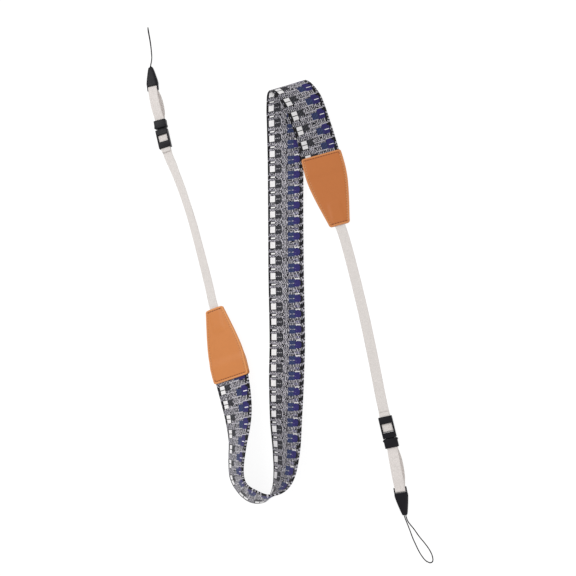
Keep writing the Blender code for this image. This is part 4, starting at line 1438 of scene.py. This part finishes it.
def make_connector(end, frame, material):
    """The connector with its bar and slot. Returns the frame at its tip."""
    slot_end, passage = RING_BAR + RING_SLOT, WEBBING_WIDTH / 2 + GAP
    top, bar_half = CONNECTOR_HEIGHT + CUT_MARGIN, ring_bar_height() / 2
    slot = block("slot", (RING_BAR, -passage, -CUT_MARGIN), (slot_end, passage, top))
    changes = [("DIFFERENCE", slot)]
    above = (connector_middle() + bar_half, top)
    below = (-CUT_MARGIN, connector_middle() - bar_half)
    for low, high in (above, below):
        cut = block("bar", (-CUT_MARGIN, -passage, low), (RING_BAR + CUT_MARGIN / 2, passage, high))
        changes.append(("DIFFERENCE", cut))
    moulded(f"connector_{end['name']}", connector_mesh(), changes, frame, material)
    tip = slot_end + BODY_LENGTH + TIP_ROUNDING
    return frame @ Matrix.Translation((tip, 0, connector_middle()))


def cord_route(end, tip):
    """The cord's own route points, out from the connector's tip and back to it."""
    reach = end["cord_reach"]
    heading = tip.to_3x3() @ Vector((1, 0, 0))
    flat = flat_frame(tip.translation.xy, math.atan2(heading.y, heading.x))
    level, table = tip.translation.z, CORD_DIAMETER / 2 + GAP
    out, back = [(GAP, CORD_SPLAY / 2, level)], [(GAP, -CORD_SPLAY / 2, level)]
    lean = math.radians(end["cord_lean"])
    for outwards, middle, half in end["cord_rows"]:
        falling = 1 - ramp(outwards, *CORD_FALL)
        side, rise = half * reach * math.cos(lean), half * reach * math.sin(lean)
        lower = table + (level - table) * falling - rise * falling
        upper = table + (level - table) * falling + rise * (2 - falling)
        out.append((reach * outwards, reach * middle + side, lower))
        back.append((reach * outwards, reach * middle - side, upper))
    last = end["cord_rows"][-1]
    out.append((reach, reach * last[1], (out[-1][2] + back[-1][2]) / 2))
    rows = np.array(out + back[::-1])
    gaps = np.linalg.norm(np.diff(rows, axis=0), axis=1)
    steps = [max(4, round(length / CORD_POINT_SPACING * CORD_FINENESS)) for length in gaps]
    return to_world(flat, smooth_path(rows, steps))


def make_cord(end, tip, material):
    """A braided cord along its route, as a tube whose strands stand out."""
    path = even_path(cord_route(end, tip), CORD_ROW)
    tangents = unit(np.gradient(path, axis=0))
    up = np.array((0.0, 0.0, 1.0))
    side = unit(np.cross(tangents, up))
    other = np.cross(side, tangents)
    reach = np.append(0, np.cumsum(np.linalg.norm(np.diff(path, axis=0), axis=1)))
    points, shade = [], []
    for i, centre in enumerate(path):
        for j in range(CORD_SIDES):
            angle = 2 * math.pi * j / CORD_SIDES
            turn, strand = 2 * math.pi * reach[i] / BRAID_PITCH, BRAID_STRANDS * angle
            braid = max(math.cos(strand + turn), math.cos(strand - turn))
            radius = CORD_DIAMETER / 2 + BRAID_DEPTH * (braid - BRAID_MIDDLE)
            points.append(centre + (side[i] * math.cos(angle) + other[i] * math.sin(angle)) * radius)
            # Painted shade: the colour darkens in the valleys between the braid's strands
            shade.append([BRAID_PAINTED_SHADE + (1 - BRAID_PAINTED_SHADE) * max(0.0, braid)] * 3)
    name = f"cord_{end['name']}"
    faces = tube_faces(len(path), CORD_SIDES)
    cord = mesh_object(f"{name}_braid", points, faces, painted_light=shade)
    cap_and_turn_out(cord, False)
    seat(cord, [name], material)


class Look:
    """A material being built from nodes, with the constants of its shader."""

    def __init__(self, name, constants):
        self.material = bpy.data.materials.new(name)
        self.material.use_nodes = True
        self.tree = self.material.node_tree
        self.shader = self.fill(self.tree.nodes["Principled BSDF"], constants)

    def fill(self, node, values):
        """Gives a node's sockets their values, each a constant or another node's output."""
        for socket, value in values.items():
            if isinstance(value, bpy.types.NodeSocket):
                self.tree.links.new(value, node.inputs[socket])
            else:
                node.inputs[socket].default_value = value
        return node

    def node(self, kind, values, **settings):
        made = self.tree.nodes.new(kind)
        for name, value in settings.items():
            setattr(made, name, value)
        return self.fill(made, values)

    def finish(self, **sockets):
        """Links the shader's colour, roughness and normal, and returns the material."""
        self.fill(self.shader, {SOCKETS[name]: value for name, value in sockets.items()})
        return self.material

    def place(self):
        return self.node("ShaderNodeTexCoord", {}).outputs["Object"]

    def painted(self, layer):
        return self.node("ShaderNodeVertexColor", {}, layer_name=layer).outputs["Color"]

    def math(self, operation, first, second=0.0):
        return self.node("ShaderNodeMath", {0: first, 1: second}, operation=operation).outputs[0]

    def noise(self, scale, detail=2.0, roughness=0.5):
        values = {"Vector": self.place(), "Scale": scale, "Detail": detail, "Roughness": roughness}
        return self.node("ShaderNodeTexNoise", values).outputs["Fac"]

    def spread(self, value, low, high):
        """The value, from 0 to 1, laid out between two numbers."""
        values = {"Value": value, "To Min": low, "To Max": high}
        return self.node("ShaderNodeMapRange", values).outputs["Result"]

    def mix(self, share, first, second, kind="MIX"):
        values = {0: share, 6: first, 7: second}
        return self.node("ShaderNodeMix", values, data_type="RGBA", blend_type=kind).outputs[2]

    def bump(self, height, distance, strength=1.0, under=None):
        values = {"Height": height, "Distance": distance * MM, "Strength": strength}
        if under is not None:
            values["Normal"] = under
        return self.node("ShaderNodeBump", values).outputs["Normal"]


def opaque(code):
    return (*linear(code), 1.0)


def woven_look(name, yarns, depth, roughness):
    """A weave whose colour is painted on the cells and whose yarns swell within each cell."""
    cloth = {"Sheen Weight": 0.12, "Sheen Roughness": 0.5, "Specular IOR Level": 0.25}
    look = Look(name, {"Roughness": roughness, **cloth})
    paint = look.painted("weave")
    mottle = look.spread(look.noise(900.0), 0.82, 1.12)
    colour = look.mix(1.0, paint, mottle, "MULTIPLY")
    places = look.node("ShaderNodeUVMap", {}, uv_map="weave_uv").outputs["UV"]
    split = look.node("ShaderNodeSeparateXYZ", {0: places})
    swells = []
    for axis in (0, 1):
        angle = look.math("MULTIPLY", split.outputs[axis], math.pi * yarns)
        swells.append(look.math("ABSOLUTE", look.math("SINE", angle)))
    height = look.math("MULTIPLY", swells[0], look.math("POWER", swells[1], 0.5))
    fuzz = look.bump(look.noise(5000.0, 3.0), 0.03, 0.4)
    return look.finish(colour=colour, normal=look.bump(height, depth, 0.8, fuzz))


def leather_look(name, dark, bright, highlight_code):
    """Tan leather with a painted highlight along its edges and painted shade in the grooves under its
    stitches.
    """
    surface = {"Specular IOR Level": 0.45, "Coat Weight": 0.08, "Coat Roughness": 0.35}
    look = Look(name, surface)
    broad = look.noise(28.0, 3.0)
    fine = look.noise(260.0, 4.0, 0.6)
    base = look.mix(look.spread(broad, 0.2, 0.8), opaque(dark), opaque(bright))
    base = look.mix(look.spread(fine, 0.0, 0.22), base, opaque("a4561f"))
    marks = look.node("ShaderNodeSeparateColor", {0: look.painted("painted_light")})
    # Painted highlight along the edges and painted shade in the stitch grooves, mixed into the colour
    painted_highlight = look.math("MULTIPLY", marks.outputs[0], 0.55)
    painted_groove_shade = look.math("MULTIPLY", marks.outputs[1], 0.6)
    base = look.mix(painted_highlight, base, opaque(highlight_code))
    colour = look.mix(painted_groove_shade, base, opaque("94501f"))
    roughness = look.spread(look.noise(120.0, 3.0), 0.40, 0.56)
    values = {"Vector": look.place(), "Scale": 1100.0, "Randomness": 1.0}
    cells = look.node("ShaderNodeTexVoronoi", values)
    grain = look.bump(cells.outputs["Distance"], 0.07, 0.35)
    normal = look.bump(look.noise(2600.0, 4.0), 0.04, 0.35, grain)
    return look.finish(colour=colour, roughness=roughness, normal=normal)


def thread_look(name, code):
    look = Look(name, {"Roughness": 0.7, "Sheen Weight": 0.1})
    shade = look.spread(look.noise(700.0), 0.0, 0.5)
    darker = tuple(value * 0.7 for value in linear(code)) + (1.0,)
    colour = look.mix(shade, opaque(code), darker)
    values = {"Vector": look.place(), "Scale": 900.0, "Distortion": 1.5}
    wave = look.node("ShaderNodeTexWave", values, bands_direction="DIAGONAL")
    return look.finish(colour=colour, normal=look.bump(wave.outputs["Fac"], 0.05, 0.6))


def plastic_look():
    look = Look("black_plastic_look", {"Specular IOR Level": 0.17})
    tone = look.spread(look.noise(90.0, 3.0), 0.0, 1.0)
    colour = look.mix(tone, opaque("100f14"), opaque("18171d"))
    roughness = look.spread(look.noise(400.0, 3.0), 0.34, 0.5)
    normal = look.bump(look.noise(3200.0, 3.0, 0.6), 0.03, 0.5)
    return look.finish(colour=colour, roughness=roughness, normal=normal)


def cord_look():
    look = Look("black_cord_look", {"Roughness": 0.65, "Specular IOR Level": 0.08})
    # The painted shade of the braid's valleys darkens the cord's colour
    braid = look.painted("painted_light")
    mottle = look.mix(look.noise(1500.0), opaque("0a090c"), opaque("18171b"))
    colour = look.mix(1.0, mottle, braid, "MULTIPLY")
    return look.finish(colour=colour, normal=look.bump(look.noise(6000.0), 0.03, 0.5))


def floor_look():
    glow = {"Emission Color": (1.0, 1.0, 1.0, 1.0), "Emission Strength": FLOOR_GLOW}
    look = Look("floor_look", {"Roughness": 0.9, "Specular IOR Level": 0.1, **glow})
    low, high = ((tone, tone, tone, 1.0) for tone in FLOOR_TONES)
    return look.finish(colour=look.mix(look.noise(3.0), low, high))


def make_floor():
    mesh = bpy.data.meshes.new("floor")
    corners = [(x * FLOOR_REACH, y * FLOOR_REACH, 0) for x, y in ((-1, -1), (1, -1), (1, 1), (-1, 1))]
    mesh.from_pydata(corners, [], [(0, 1, 2, 3)])
    floor = link(bpy.data.objects.new("floor", mesh))
    mesh.materials.append(floor_look())


def make_lights():
    world = bpy.data.worlds.new("studio")
    world.use_nodes = True
    background = world.node_tree.nodes["Background"]
    background.inputs["Color"].default_value = (1.0, 1.0, 1.0, 1.0)
    background.inputs["Strength"].default_value = WORLD_STRENGTH
    bpy.context.scene.world = world
    for name, place, size, power in LIGHTS:
        data = bpy.data.lights.new(name, "AREA")
        data.shape = "DISK"
        data.size = size
        data.energy = power
        light = link(bpy.data.objects.new(name, data))
        light.location = place
        light.rotation_mode = "QUATERNION"
        light.rotation_quaternion = (-Vector(place)).to_track_quat("-Z", "Y")


def make_camera():
    tilt, turn = math.radians(CAMERA_TILT), math.radians(CAMERA_FROM)
    flat = math.sin(tilt)
    back = Vector((flat * math.cos(turn), flat * math.sin(turn), math.cos(tilt)))
    right = Vector((0, 1, 0)).cross(back).normalized()
    up = back.cross(right)
    data = bpy.data.cameras.new("camera")
    data.lens = CAMERA_LENS
    data.sensor_width = CAMERA_SENSOR
    data.clip_start = CAMERA_CLIP
    camera = link(bpy.data.objects.new("camera", data))
    camera.matrix_world = Matrix((right, up, back)).transposed().to_4x4()
    camera.location = Vector(to_row((0, 0, 0))) + back * CAMERA_DISTANCE * MM
    bpy.context.scene.camera = camera


SHIFT = packed_shift()


def main():
    make_camera()
    make_floor()
    make_lights()
    bpy.context.scene.view_settings.view_transform = "Standard"
    cloth = woven_look("woven_cloth_look", 2.0, 0.10, 0.85)
    ivory = woven_look("ivory_webbing_look", 1.0, 0.10, 0.8)
    # The right tab has the same leather painted darker as shade, its painted highlight darker too
    leathers = {
        "left": leather_look("tan_leather_left", "cc7c3c", "d58642", "e8a468"),
        "right": leather_look("tan_leather_right_painted_shade", "b9692e", "c37333", "da9a62"),
    }
    # One thread in two tones: painted shade at the leathers' ends and a painted highlight along their
    # sides
    threads = {
        "ends": thread_look("thread_painted_shade", "86461d"),
        "sides": thread_look("thread_painted_highlight", "e0a870"),
    }
    ivory_thread = thread_look("ivory_thread", "d0c9c3")
    plastic, cord = plastic_look(), cord_look()
    centres, aims, _ = band_stations()
    for end in ENDS:
        tab = tab_frame(end, centres[end["station"]], aims[end["station"]])
        for label, side in (("front", 1), ("back", -1)):
            make_leather(end, label, side, tab, leathers[end["name"]])
            make_seam(end, label, side, tab, threads)
        buckle = make_webbing(end, tab, ivory)
        make_tail_stitches(end, buckle, ivory_thread)
        make_buckle_frame(end, buckle, plastic)
        plug = make_plug(end, buckle, plastic)
        connector = make_loop(end, plug, ivory)
        tip = make_connector(end, connector, plastic)
        make_cord(end, tip, cord)
    make_band(cloth)


main()
